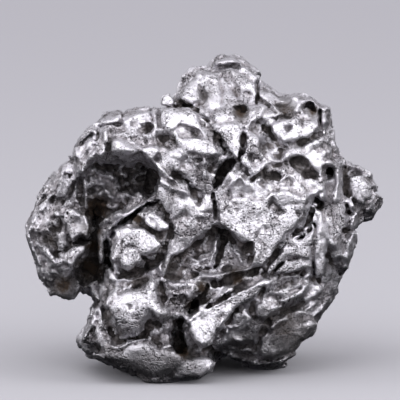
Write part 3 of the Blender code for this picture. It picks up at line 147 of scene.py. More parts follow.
def smooth_noise(rng, axes, spacing):
    """A smooth random field over the axes, about -1 to 1, with bumps about one spacing wide."""
    weights = [spline_weights(axis, low, high, spacing)
               for axis, low, high in zip(axes, BLOCK_LOW, BLOCK_HIGH)]
    field = rng.standard_normal([w.shape[1] for w in weights]).astype(np.float32)
    for w in weights:
        field = np.tensordot(field, w, axes=(0, 1))
    return field / (3 * field.std())


class Stone:
    """A block of space with the distance to the stone's skin at each point, negative inside."""

    def __init__(self):
        self.axes = [np.arange(a, b, CELL, dtype=np.float32) for a, b in zip(BLOCK_LOW, BLOCK_HIGH)]
        self.u, self.v, self.w = self.axes
        self.field = np.full([len(a) for a in self.axes], FAR, dtype=np.float32)
        self.rng = np.random.default_rng(SEED)
        # A slight sway of the sheet, so that no drawn edge runs quite straight
        sway = [smooth_noise(self.rng, self.axes[:2], 4.0) * 0.22
                + smooth_noise(self.rng, self.axes[:2], 1.5) * 0.16 for _ in range(2)]
        self.flat_u = self.u[:, None] + sway[0]
        self.flat_v = self.v[None, :] + sway[1]
        # Ragged rims for grooves and sinks, and how calm each place's surface is
        self.ragged = (smooth_noise(self.rng, self.axes[:2], 0.5)
                       + smooth_noise(self.rng, self.axes[:2], 1.1)) * 0.5
        self.calm = np.zeros([len(self.u), len(self.v)], dtype=np.float32)

    def window(self, points, reach):
        """The part of the block around some points, as slices and its sheet places."""
        pick = []
        for axis, values in zip((self.u, self.v), zip(*points)):
            pick.append(slice(*np.searchsorted(axis, (min(values) - reach, max(values) + reach))))
        pick = tuple(pick)
        return pick, self.flat_u[pick], self.flat_v[pick]

    def plane(self, points, u, v, level, slope):
        """A leaning plane through the middle of an outline, as depths over the window."""
        middle_u, middle_v = np.mean(points, axis=0)
        return level + slope[0] * (u - middle_u) + slope[1] * (v - middle_v)

    def lump(self, steps, middle, slope, front, back, rim, blend=0.8):
        """A rounded mass with this outline, bulging to the front and to the back."""
        points = sheet_points(steps)
        pick, u, v = self.window(points, 4.0)
        away = (outline_distance(points, u, v)[..., None] + rim).clip(0) / rim
        depth = self.w - self.plane(points, u, v, middle, slope)[..., None]
        bulge = np.where(depth > 0, front, back)
        size = np.hypot(away, depth / bulge) + 1e-6
        steepness = np.hypot(away / rim, depth / bulge ** 2) + 1e-6
        solid = (size * (size - 1) / steepness).clip(-FAR, FAR)
        self.field[pick] = soft_union(self.field[pick], solid, blend)

    def plate(self, steps, level, slope=(0, 0), edge=0.35, depth=4.0, blend=0.3, calm=0.85):
        """A flat-topped crystal plate that stands proud of the mass behind it."""
        points = sheet_points(steps)
        pick, u, v = self.window(points, 2.0)
        side = outline_distance(points, u, v)[..., None]
        top = self.w - self.plane(points, u, v, level, slope)[..., None]
        lean = math.hypot(1, math.hypot(*slope))
        solid = np.maximum(round_corner(side, top / lean, edge), -depth - top)
        self.field[pick] = soft_union(self.field[pick], solid, blend)
        self.calm[pick] = np.maximum(self.calm[pick], np.clip(-side[..., 0] / 0.5, 0, 1) * calm)

    def hollow(self, steps, level, slope=(0, 0), edge=0.4, calm=0.0):
        """A hollow open to the front, with this outline and this floor; calm below 0 is rougher."""
        points = sheet_points(steps)
        pick, u, v = self.window(points, 2.0)
        side = outline_distance(points, u, v)[..., None]
        floor = self.plane(points, u, v, level, slope)[..., None] - self.w
        solid = round_corner(side, floor, edge)
        self.field[pick] = soft_cut(self.field[pick], solid, edge)
        outside = np.clip(0.5 + side[..., 0] / 0.5, 0, 1)
        self.calm[pick] = self.calm[pick] * outside + calm * (1 - outside)

    def press(self, pick, share, depth):
        """Push the front skin in by a depth, all of it at share 0 and none from share 1."""
        share = share * (1 + 0.7 * self.ragged[pick])
        fade = np.clip(1 - share, 0, 1) if depth > 0 else np.clip(1 - share ** 2, 0, 1) ** 1.5
        self.field[pick] += CUT * depth * fade[..., None] * self.front_share(pick)

    def front_share(self, pick):
        """1 on the front skin, falling to 0 where it turns into the back."""
        u, v = self.u[pick[0]][:, None, None], self.v[pick[1]][None, :, None]
        return np.clip((self.w - turning_depth(u, v)) / 1.5, 0, 1)

    def groove(self, steps, widths, depth):
        """A groove along a line; a negative depth makes a ridge. Widths are in millimetres."""
        points = sheet_points(steps)
        if not isinstance(widths, (list, tuple)):
            widths = [widths] * len(points)
        pick, u, v = self.window(points, max(widths))
        share = line_share(points, [w / 2 for w in widths], u, v)
        self.press(pick, share, depth)

    def dent(self, place, size, depth, turn=0):
        """An oval dent; a negative depth makes a knob. Its size is in steps."""
        (u0, v0), = sheet_points([place])
        long, wide = size[0] * TENTH / 2, size[1] * TENTH / 2
        pick, u, v = self.window([(u0, v0)], max(long, wide))
        c, s = math.cos(math.radians(turn)), math.sin(math.radians(turn))
        across = ((u - u0) * c + (v - v0) * s) / long
        up = ((v - v0) * c - (u - u0) * s) / wide
        self.press(pick, np.hypot(across, up), depth)

    def sink(self, steps, depth, wall=0.6, lean=(0, 0)):
        """Press in the skin inside an outline, with sloping walls; a negative depth raises it."""
        points = sheet_points(steps)
        pick, u, v = self.window(points, 1.0)
        share = np.clip(0.3 - (outline_distance(points, u, v) + self.ragged[pick] * 0.3) / wall, 0, 1)
        amount = share * self.plane(points, u, v, depth, lean)
        self.field[pick] += CUT * amount[..., None] * self.front_share(pick)
        if depth > 0:
            self.calm[pick] *= 1 - 0.5 * share

    def facet(self, direction, distance, blend=0.25):
        """Break the mass off flat along a plane, given by its direction and its distance."""
        across, up, out = np.array(direction) / np.linalg.norm(direction)
        away = across * self.u[:, None, None] + up * self.v[None, :, None] + out * self.w
        self.field = -soft_union(-self.field, distance - away, blend)

    def scoop(self, across, out, wide, deep, lift, blend=0.5):
        """Hollow the underside over a spot of the table, up to a lift above it."""
        tall = 3.0
        up = -(SHEET_HEIGHT + out * math.sin(SHEET_LEAN)) / math.cos(SHEET_LEAN) + lift - tall
        size = np.sqrt(((self.u[:, None, None] - across) / wide) ** 2
                       + ((self.v[None, :, None] - up) / tall) ** 2
                       + ((self.w - out) / deep) ** 2)
        self.field = soft_cut(self.field, (size - 1) * min(wide, deep, tall), blend)

    def foot(self, across, out, wide, tall, blend=1.0):
        """A low knob under the stone that reaches the table at this spot."""
        up = (tall * 0.6 - SHEET_HEIGHT - out * math.sin(SHEET_LEAN)) / math.cos(SHEET_LEAN)
        size = np.sqrt(((self.u[:, None, None] - across) / wide) ** 2
                       + ((self.v[None, :, None] - up) / tall) ** 2
                       + ((self.w - out) / wide) ** 2)
        self.field = soft_union(self.field, (size - 1) * min(wide, tall), blend)

    def height(self):
        """Height of every point of the block above the table."""
        lean, shrink = SHEET_LEAN, 1 - self.w / EYE_DISTANCE
        up = self.v[None, :, None] * math.cos(lean) * shrink
        return SHEET_HEIGHT + up + self.w * math.sin(lean)


def main_mass(stone):
    """The lumps that make the mass, from the big one to the lobes."""
    stone.lump([(92, 127), (105, 116), (135, 110), (162, 108), (200, 108), (245, 98), (300, 108),
                (328, 122), (342, 150), (350, 168), (353, 195), (356, 228), (351, 256),
                (341, 280), (324, 309), (314, 335), (290, 358), (263, 368), (228, 360),
                (204, 372), (170, 374), (143, 370), (107, 357), (88, 341), (93, 324),
                (94, 307), (90, 290), (82, 262), (76, 235), (70, 200), (76, 160)],
               middle=-2.0, slope=(-0.16, -0.1), front=9.6, back=11.0, rim=11.5)
    stone.lump([(163, 100), (177, 92), (187, 79), (195, 70), (211, 66), (221, 57), (235, 57),
                (244, 63), (256, 74), (257, 81), (272, 87), (283, 94), (296, 94), (309, 98),
                (323, 105), (332, 112), (336, 136), (330, 165), (200, 165), (165, 140)],
               middle=-5.0, slope=(-0.12, -0.75), front=6.5, back=5.5, rim=4.5)
    stone.lump([(24, 237), (27, 225), (35, 203), (45, 178), (51, 171), (56, 165), (66, 160),
                (78, 150), (92, 150), (100, 180), (104, 215), (102, 240), (92, 262), (82, 292),
                (74, 302), (65, 301), (53, 294), (39, 281), (35, 268), (27, 248)],
               middle=-0.5, slope=(0.12, 0.0), front=4.6, back=7.0, rim=4.2)
    stone.lump([(322, 158), (345, 160), (359, 162), (371, 171), (376, 185), (378, 195), (374, 207),
                (366, 219), (357, 228), (345, 236), (322, 230)],
               middle=-5.6, slope=(-0.25, 0.0), front=3.8, back=4.2, rim=2.6)
    stone.lump([(66, 225), (100, 215), (125, 240), (122, 310), (100, 322), (93, 300), (80, 298),
                (68, 280)], middle=-4.0, slope=(0.1, 0.0), front=3.0, back=4.0, rim=1.6)


def faces(stone):
    """The broad faces of the front, from which the plates stand out only a little."""
    stone.plate([(150, 160), (178, 157), (206, 160), (226, 163), (250, 178), (272, 190), (305, 187),
                 (317, 194), (315, 216), (304, 232), (288, 245), (276, 258), (262, 268), (236, 278),
                 (214, 282), (185, 284), (160, 285), (157, 270), (164, 250), (169, 232), (166, 214),
                 (154, 200)], level=7.9, slope=(-0.13, 0.05), edge=0.8, blend=0.6, calm=0.3)
    stone.plate([(106, 236), (122, 226), (142, 208), (160, 204), (172, 224), (170, 252), (165, 285),
                 (204, 286), (198, 302), (190, 320), (174, 334), (150, 342), (122, 342), (100, 328),
                 (98, 300), (102, 270)], level=7.7, slope=(0.12, 0.05), edge=1.8, blend=1.0, calm=0.0)
    stone.plate([(192, 312), (225, 294), (260, 280), (312, 262), (318, 276), (303, 300), (276, 318),
                 (262, 340), (240, 352), (222, 350), (206, 346), (192, 338)],
                level=5.9, slope=(-0.28, 0.3), edge=1.6, blend=1.0, calm=0.4)
    stone.plate([(296, 272), (312, 250), (330, 236), (355, 240), (353, 256), (349, 268), (342, 280),
                 (337, 294), (325, 309), (318, 324), (315, 335), (304, 343), (294, 356), (280, 363),
                 (262, 366), (250, 356), (262, 330), (282, 305)],
                level=1.6, slope=(-0.5, 0.3), edge=1.8, blend=1.0, calm=0.6)
    stone.plate([(319, 196), (330, 160), (344, 158), (349, 172), (348, 205), (345, 238), (332, 244),
                 (319, 232)], level=2.9, slope=(-0.55, -0.1), edge=1.0, blend=0.8, calm=0.6)
    stone.plate([(194, 116), (226, 106), (262, 102), (300, 102), (326, 114), (332, 140), (330, 166),
                 (324, 198), (300, 204), (264, 204), (238, 194), (218, 178), (204, 165), (196, 150)],
                level=6.1, slope=(-0.25, -0.3), edge=1.2, blend=0.8, calm=0.0)


def upper_left_block(stone):
    """The block at the upper left, a brow over the cave, with plates on its crown."""
    stone.lump([(72, 156), (83, 135), (92, 127), (100, 121), (105, 114), (118, 109), (135, 108),
                (160, 107), (188, 107), (198, 116), (212, 130), (222, 150), (215, 166), (198, 172),
                (170, 172), (155, 160), (130, 165), (105, 162), (92, 170), (74, 172)],
               middle=2.2, slope=(0.0, -0.35), front=6.2, back=8.0, rim=2.8)
    stone.plate([(104, 120), (122, 113), (160, 112), (190, 112), (200, 124), (214, 136), (218, 152),
                 (208, 166), (182, 168), (158, 160), (140, 157), (112, 157), (99, 152), (98, 132)],
                level=8.2, slope=(0.02, -0.42), edge=1.2, blend=0.8, calm=0.2)
    stone.plate([(100, 123), (101, 119), (105, 115), (118, 109), (124, 111), (120, 121), (112, 123)],
                level=6.2, slope=(0.3, -1.0), edge=0.4)
    stone.plate([(127, 113), (134, 109), (151, 110), (150, 118), (140, 120), (130, 123), (122, 121)],
                level=6.8, slope=(0.1, -0.9), edge=0.4)
    stone.plate([(159, 112), (161, 109), (175, 108), (190, 108), (195, 112), (197, 120), (203, 129),
                 (202, 134), (190, 129), (180, 127), (174, 131), (166, 132), (160, 127)],
                level=8.0, slope=(0.0, -0.55), edge=0.4)
    stone.dent((154, 114), (7, 8), -0.6)
    stone.plate([(110, 143), (113, 138), (120, 137), (128, 141), (136, 146), (138, 152), (132, 156),
                 (122, 158), (114, 156), (110, 151)], level=10.0, slope=(0.05, -0.2), edge=1.3,
                blend=0.5)
    stone.plate([(103, 126), (108, 124), (110, 131), (109, 143), (106, 153), (99, 158), (96, 155),
                 (98, 147), (100, 137), (99, 130)], level=8.4, slope=(0.6, -0.3), edge=0.5)
    stone.plate([(138, 148), (148, 144), (156, 145), (161, 151), (154, 163), (147, 161), (141, 155)],
                level=9.3, slope=(0.05, -0.2), edge=0.6)
    stone.plate([(184, 136), (196, 134), (206, 137), (214, 145), (220, 154), (212, 158), (200, 158),
                 (188, 154), (178, 148), (176, 140)], level=8.9, slope=(0.0, -0.3), edge=0.5)
    stone.sink([(133, 130), (138, 125), (149, 123), (154, 128), (150, 134), (138, 135)], 1.1, 0.5,
               (0, 0.5))
    stone.sink([(127, 137), (134, 135), (152, 137), (156, 143), (146, 143), (137, 145)], 0.5, 0.5)
    stone.sink([(157, 133), (165, 132), (172, 137), (179, 148), (181, 156), (174, 151), (166, 146),
                (160, 141)], 1.5, 0.8)
    stone.sink([(186, 127), (194, 130), (203, 135), (201, 138), (192, 134)], 0.8, 0.4)
    stone.sink([(111, 124), (122, 122), (140, 121), (138, 126), (126, 131), (112, 134)], 0.3, 0.4)
    stone.groove([(124, 109), (122, 116), (118, 123), (106, 123), (100, 126)], 0.4, 0.7)
    stone.groove([(152, 107), (150, 114), (152, 121)], 0.35, 0.8)
    stone.groove([(159, 110), (158, 118), (160, 128)], 0.35, 0.6)
    stone.groove([(110, 128), (110, 140), (108, 150)], 0.4, 0.6)
    stone.groove([(99, 125), (96, 138), (91, 148), (82, 158)], 0.5, 0.8)
    stone.groove([(97, 128), (93, 141), (88, 150)], 0.5, -0.4)
    stone.sink([(79, 143), (84, 136), (91, 132), (93, 135), (87, 141)], 0.6, 0.4)
    stone.groove([(75, 155), (76, 144), (82, 136), (91, 129)], 0.6, -0.5)
    stone.groove([(183, 157), (196, 160), (210, 160)], 0.5, 0.5)
    stone.sink([(173, 158), (186, 157), (194, 161), (191, 170), (178, 172)], 0.7, 0.6, (0.1, 0.4))
    stone.groove([(174, 175), (184, 184), (198, 199)], [0.8, 1.4, 1.2], 1.9)
    stone.groove([(203, 161), (203, 176)], 0.7, -0.6)
    stone.groove([(156, 163), (168, 178), (184, 188)], 0.6, -0.6)
    stone.groove([(160, 182), (172, 190), (187, 194)], 0.7, -0.6)
    stone.sink([(172, 196), (186, 197), (198, 200), (196, 206), (180, 205)], 0.6, 0.6, (0, 0.5))
    stone.groove([(150, 196), (160, 206), (168, 214)], 0.5, 0.3)


def cave(stone):
    """The deep cave at the left, under the brow, and its run down behind the lower block."""
    stone.hollow([(90, 166), (98, 161), (112, 160), (128, 161), (150, 167), (157, 180), (154, 194),
                  (142, 204), (122, 216), (106, 224), (92, 220), (85, 205), (85, 180)],
                 level=3.6, slope=(-0.4, 0.1), edge=0.7, calm=-1.2)
    stone.sink([(124, 170), (140, 166), (154, 174), (152, 184), (136, 190), (122, 182)], 2.2, 1.6)
    stone.sink([(88, 200), (98, 198), (108, 206), (106, 218), (96, 222), (88, 214)], 1.6, 1.0)
    stone.groove([(116, 184), (130, 190), (140, 200)], 1.2, 1.2)
    stone.groove([(92, 190), (100, 200), (98, 212)], 1.0, 1.0)
    stone.hollow([(92, 214), (102, 222), (106, 240), (108, 262), (102, 280), (88, 286), (80, 272),
                  (90, 250), (93, 232)], level=-1.0, slope=(0.0, 0.1), edge=0.7)
    stone.plate([(97, 149), (112, 153), (130, 155), (142, 153), (156, 160), (159, 170), (149, 170),
                 (139, 162), (122, 163), (106, 165), (95, 163), (92, 156)],
                level=7.4, slope=(0.1, 0.9), edge=0.8, blend=0.7, calm=0.7)
    stone.groove([(94, 152), (86, 164), (77, 177)], 0.9, -1.0)
    stone.groove([(84, 172), (85, 206)], 0.7, -0.9)
    stone.groove([(88, 186), (100, 180), (114, 186), (128, 184)], 1.2, -0.9)
    stone.groove([(119, 171), (127, 175), (137, 172)], 0.8, -0.9)
    stone.groove([(90, 196), (104, 193), (118, 200), (132, 194)], 1.2, -0.8)
    stone.groove([(104, 184), (110, 196), (108, 206)], 0.9, -0.6)
    stone.groove([(88, 162), (102, 166), (116, 168), (122, 178)], 1.0, 0.9)
    stone.groove([(98, 172), (112, 178), (124, 176)], 0.8, -0.9)
    stone.groove([(92, 178), (106, 190), (122, 192), (136, 200)], 0.8, -0.9)
    stone.groove([(110, 172), (118, 186), (112, 202)], 0.7, -0.7)
    stone.groove([(100, 205), (112, 208), (124, 204), (134, 197)], 0.8, -0.8)
    stone.groove([(140, 168), (146, 178), (142, 190)], 0.6, -0.5)
    stone.plate([(131, 203), (137, 192), (143, 195), (150, 200), (140, 207), (130, 215), (118, 216)],
                level=6.2, slope=(0.25, 0.2), edge=0.4)
    stone.plate([(127, 211), (117, 213), (107, 217), (100, 226), (95, 236), (96, 250), (99, 264),
                 (104, 263), (105, 246), (109, 233), (119, 225), (128, 219)],
                level=5.4, slope=(0.25, 0.1), edge=0.6)
    stone.dent((119, 216), (14, 8), -1.0, 20)
    stone.dent((107, 221), (12, 7), -0.9, 45)
    stone.groove([(158, 201), (148, 205), (138, 213), (128, 221), (116, 229), (110, 238)],
                 [0.35, 0.5, 0.6, 0.6, 0.5, 0.4], 2.6)


def left_lobe(stone):
    """The lobe at the far left, with a long ridge and two rough heads."""
    stone.groove([(56, 177), (52, 195), (42, 206), (33, 223), (28, 235), (32, 250), (38, 264)],
                 [0.7, 0.8, 0.9, 0.8, 0.9, 0.8, 0.6], -0.8)
    stone.groove([(46, 186), (36, 205), (29, 224)], 0.5, -0.5)
    stone.groove([(48, 205), (41, 218), (36, 232)], 0.5, -0.5)
    stone.groove([(52, 200), (45, 212), (38, 224)], 0.35, 0.6)
    stone.plate([(56, 175), (75, 175), (76, 164), (70, 159), (60, 166)],
                level=3.0, slope=(0.4, -0.4), edge=0.4)
    stone.plate([(58, 179), (74, 178), (67, 196), (59, 200), (57, 190)],
                level=4.7, slope=(0.15, -0.1), edge=0.35)
    stone.groove([(56, 177), (75, 177)], 0.4, 0.6)
    stone.groove([(76, 180), (68, 198), (62, 205)], 0.5, 0.5)
    stone.plate([(67, 210), (73, 209), (82, 214), (87, 224), (88, 238), (80, 241), (72, 246), (66, 240),
                 (62, 232), (62, 220)], level=5.6, slope=(0.05, -0.1), edge=0.6, calm=0.3)
    stone.plate([(62, 260), (66, 251), (74, 246), (84, 244), (91, 243), (86, 254), (78, 262), (72, 267),
                 (65, 265)], level=5.2, slope=(0.1, -0.1), edge=0.5, calm=0.4)
    stone.groove([(66, 250), (78, 243), (90, 242)], 0.5, 0.9)
    stone.sink([(72, 218), (80, 219), (84, 228), (76, 232), (69, 226)], 0.5, 0.5)
    stone.sink([(51, 222), (58, 220), (64, 229), (60, 234), (53, 231)], 0.9, 0.5)
    stone.sink([(39, 236), (48, 234), (56, 242), (62, 252), (58, 257), (48, 248), (40, 242)], 1.4, 0.6)
    stone.plate([(52, 212), (58, 212), (63, 217), (57, 220), (52, 217)], level=4.8, slope=(0, -0.4),
                edge=0.3)
    stone.groove([(39, 246), (46, 254), (55, 264)], 0.8, -0.7)
    stone.groove([(44, 246), (53, 256)], 0.5, -0.4)
    stone.dent((69, 157), (6, 6), -0.7)
    stone.dent((74, 160), (4, 8), 0.9)
    stone.sink([(42, 274), (60, 270), (76, 272), (90, 266), (90, 280), (78, 288), (64, 290), (50, 284)],
               0.8, 1.4, (0, -0.3))
    stone.groove([(62, 172), (60, 188), (54, 202)], 0.5, -0.5)
    stone.groove([(76, 178), (74, 196), (80, 208)], 0.5, -0.6)
    stone.groove([(50, 226), (56, 240), (60, 258)], 0.6, 0.8)
    stone.groove([(68, 214), (66, 232), (72, 246), (86, 240)], 0.4, 0.5)
    stone.groove([(84, 217), (87, 228), (86, 240)], 0.5, -0.6)


def middle_blocks(stone):
    """The two round blocks at the left of the middle, and the rough field between them."""
    stone.plate([(140, 216), (150, 209), (160, 212), (170, 222), (170, 231), (158, 234), (148, 228)],
                level=9.0, slope=(0.0, -0.3), edge=0.5, calm=0.4)
    stone.plate([(115, 232), (119, 229), (131, 228), (143, 228), (150, 232), (157, 237), (162, 246),
                 (158, 254), (150, 258), (143, 260), (135, 267), (129, 272), (122, 268), (117, 262),
                 (110, 261), (111, 250), (114, 240)], level=9.8, slope=(0.08, -0.12), edge=0.6)
    stone.sink([(116, 262), (128, 270), (144, 260), (160, 254), (158, 262), (140, 272), (128, 280),
                (116, 272)], 0.9, 0.6, (0, -0.5))
    stone.groove([(120, 232), (122, 243), (121, 254)], 0.3, 0.5)
    stone.groove([(127, 248), (135, 248), (138, 254), (142, 260)], 0.35, 0.7)
    stone.dent((112, 259), (8, 8), -0.6)
    stone.groove([(143, 225), (152, 231), (160, 236)], 0.3, 0.4)
    stone.groove([(146, 216), (154, 222), (158, 230)], 0.4, 0.6)
    stone.plate([(105, 308), (108, 298), (113, 292), (122, 289), (137, 286), (149, 275), (158, 281),
                 (162, 298), (172, 308), (171, 319), (162, 326), (152, 321), (143, 331), (131, 336),
                 (119, 333), (109, 322)], level=9.9, slope=(0.04, -0.02), edge=1.8, blend=0.5,
                calm=0.75)
    stone.dent((163, 313), (20, 20), -0.7)
    stone.groove([(152, 312), (158, 322)], 0.4, 0.5)
    stone.groove([(171, 231), (167, 241), (162, 254), (160, 270)], 0.35, 0.5)
    stone.groove([(108, 262), (117, 276), (134, 275), (150, 266), (161, 257)], 0.6, 1.3)
    stone.groove([(105, 306), (108, 296), (117, 288)], 0.7, -0.8)
    stone.groove([(119, 289), (134, 286)], 0.4, -0.4)
    stone.groove([(103, 308), (107, 322), (114, 332)], 0.8, 1.0)
    stone.groove([(94, 309), (91, 324), (84, 340)], 0.8, -0.7)
    stone.groove([(160, 283), (164, 296), (163, 308)], 0.4, 0.7)
    stone.sink([(124, 305), (130, 304), (132, 308), (126, 310)], 0.4, 0.3)
    stone.sink([(139, 292), (146, 295), (144, 299), (139, 296)], 0.4, 0.3)


def arrowhead(stone):
    """The broad central plateau, the step below it shaped as an arrowhead, and its slit."""
    stone.plate([(216, 213), (219, 200), (232, 195), (246, 196), (262, 200), (272, 192), (288, 191),
                 (300, 194), (305, 188), (307, 198), (306, 213), (298, 225), (284, 240), (276, 252),
                 (260, 267), (252, 262), (256, 250), (252, 242), (242, 243), (230, 232), (216, 225)],
                level=8.3, slope=(-0.14, -0.05), edge=0.3)
    stone.sink([(215, 226), (230, 234), (242, 245), (252, 243), (254, 256), (246, 268), (222, 274),
                (200, 276), (176, 282), (161, 280), (170, 260), (184, 252), (191, 244), (198, 238)],
               2.6, 0.3, (-0.05, 0.3))
    stone.sink([(234, 248), (244, 247), (253, 245), (257, 256), (248, 270), (232, 270)], -1.3, 1.0)
    stone.groove([(216, 227), (229, 234), (241, 245), (249, 243)], [0.5, 0.8, 0.7, 0.2], 1.5)
    stone.groove([(215, 227), (199, 238), (186, 251), (171, 260)], [0.4, 0.6, 0.6, 0.4], 0.9)
    stone.groove([(222, 238), (220, 252), (215, 267)], [0.7, 0.6, 0.4], 2.2)
    stone.groove([(217, 240), (213, 252), (208, 265)], 0.5, -0.5)
    stone.groove([(212, 194), (215, 206), (214, 219)], [0.26, 0.36, 0.26], 2.2)
    stone.groove([(198, 213), (214, 212), (222, 212)], [0.2, 0.3, 0.2], 0.5)
    stone.groove([(228, 244), (236, 254), (240, 262)], 0.5, -0.4)
    stone.groove([(188, 258), (198, 262), (206, 258)], 0.5, -0.4)
    stone.groove([(192, 270), (206, 275), (218, 272), (223, 266)], 0.8, -0.8)
    stone.sink([(182, 270), (198, 276), (214, 278), (212, 284), (192, 284), (178, 278)], 1.0, 0.7,
               (0, -0.5))
    stone.groove([(169, 277), (175, 279), (182, 283)], 0.5, 1.2)
    stone.groove([(214, 284), (226, 279), (244, 274), (260, 267)], [0.7, 1.0, 1.0, 0.6], 1.6)
    stone.sink([(272, 194), (276, 202), (285, 211), (279, 212), (268, 206)], 0.9, 0.4)
    stone.sink([(261, 222), (270, 227), (263, 231)], 0.6, 0.25)
    stone.groove([(259, 227), (255, 235)], 0.3, 0.6)
    stone.sink([(296, 210), (301, 211), (300, 217)], 0.5, 0.25)
    stone.sink([(232, 207), (238, 208), (236, 213)], 0.5, 0.3)
    stone.groove([(226, 195), (231, 202), (236, 205)], 0.3, 0.5)
    stone.sink([(176, 212), (186, 213), (188, 224), (180, 228), (174, 220)], 0.4, 0.4)
    stone.hollow([(223, 160), (232, 161), (230, 168), (226, 174), (220, 181), (215, 188), (213, 182),
                  (217, 173)],
                 level=3.5, edge=0.2)
    stone.hollow([(205, 166), (224, 160), (218, 173), (209, 172)], level=7.2, slope=(-0.25, 0.5),
                 edge=0.2)
    stone.groove([(226, 190), (234, 180), (238, 176), (245, 186)], 0.6, -0.5)


def trench_side(stone):
    """The trench along the plateau's lower right edge, and the plates on its other side."""
    stone.plate([(316, 222), (313, 240), (312, 258), (298, 257), (286, 259), (277, 268), (268, 276),
                 (264, 272), (283, 247), (300, 240), (308, 232)],
                level=6.6, slope=(-0.25, -0.05), edge=0.3)
    stone.plate([(272, 273), (284, 259), (299, 254), (314, 254), (314, 268), (300, 272), (286, 275)],
                level=6.35, slope=(-0.3, -0.1), edge=0.4)
    stone.sink([(276, 276), (312, 270), (314, 280), (300, 288), (282, 292), (268, 292)], 0.5, 0.6)
    stone.plate([(274, 300), (280, 295), (292, 291), (304, 283), (311, 275), (309, 286), (303, 296),
                 (293, 303), (282, 306)], level=5.4, slope=(-0.3, -0.1), edge=0.6)
    stone.plate([(268, 304), (284, 308), (298, 302), (308, 292), (314, 296), (303, 307), (290, 313),
                 (276, 316), (264, 316)], level=4.6, slope=(-0.35, 0.0), edge=0.6)
    stone.groove([(276, 290), (292, 284), (306, 272)], 0.5, 0.7)
    stone.groove([(272, 284), (284, 278), (298, 276)], 0.4, -0.4)
    stone.groove([(268, 297), (284, 299), (300, 289)], 0.5, 0.7)
    stone.sink([(309, 195), (319, 191), (317, 206), (311, 221), (303, 229), (291, 240), (281, 250),
                (272, 259), (262, 268), (260, 266), (272, 252), (282, 239), (297, 225), (306, 212)],
               1.0, 0.45)
    stone.plate([(309, 213), (310, 205), (316, 197), (318, 200), (314, 208)],
                level=5.6, slope=(-0.2, -0.2), edge=0.25)
    stone.plate([(309, 195), (322, 181), (327, 183), (317, 194), (312, 198)],
                level=5.2, slope=(-0.2, -0.4), edge=0.3)
    stone.plate([(312, 204), (322, 204), (322, 277), (312, 277), (311, 240)],
                level=4.9, slope=(-0.4, 0.05), edge=0.3)
    stone.groove([(319, 200), (317, 212), (314, 222)], 0.6, 0.5)
    stone.groove([(299, 258), (287, 261), (279, 267), (271, 275)], 0.3, 0.7)
    stone.plate([(319, 222), (327, 219), (329, 235), (328, 258), (325, 274), (319, 276), (317, 250)],
                level=4.6, slope=(-0.5, 0.0), edge=0.5)
    stone.plate([(331, 228), (340, 226), (344, 240), (342, 256), (334, 262), (330, 248)],
                level=2.6, slope=(-0.5, 0.0), edge=0.5, calm=0.6)
    stone.plate([(345, 232), (355, 234), (354, 252), (348, 268), (342, 264), (345, 248)],
                level=1.0, slope=(-0.5, 0.0), edge=0.5, calm=0.6)
    stone.plate([(350, 176), (362, 173), (372, 184), (370, 200), (358, 206), (350, 196)],
                level=-1.2, slope=(-0.3, -0.1), edge=0.7, calm=0.5)
    stone.groove([(315, 224), (315, 246), (315, 274)], 0.45, 0.6)
    stone.groove([(331, 162), (338, 166), (339, 180), (334, 198)], 0.9, -1.0)
    stone.sink([(323, 166), (333, 166), (334, 176), (326, 178)], 0.7, 0.5)
    stone.groove([(346, 168), (344, 186), (346, 204)], 1.1, 1.0)
    stone.groove([(351, 165), (358, 165), (364, 169)], 0.8, -0.7)
    stone.groove([(352, 172), (366, 172)], 0.4, 0.6)
    stone.dent((371, 174), (6, 11), -0.6)
    stone.groove([(348, 201), (356, 212), (352, 225)], 1.0, -0.9)
    stone.dent((346, 212), (6, 8), 0.9)
    stone.dent((364, 203), (8, 12), -0.6, 20)
    stone.groove([(342, 229), (355, 230), (364, 222)], 0.5, 1.1)
    stone.groove([(352, 233), (349, 250), (346, 266)], 0.9, -0.9)
    stone.dent((335, 243), (10, 16), -0.6)
    stone.groove([(328, 255), (335, 263), (341, 273)], 0.5, 0.9)
    stone.sink([(314, 277), (321, 277), (321, 284), (316, 282)], 1.1, 0.4)
    stone.plate([(310, 291), (316, 282), (321, 285), (321, 291), (312, 299), (303, 304)],
                level=3.4, slope=(-0.4, -0.1), edge=0.35)
    stone.groove([(312, 300), (303, 308), (292, 311)], 0.6, 0.9)
    stone.groove([(328, 300), (320, 310), (312, 316)], 0.6, -0.5)


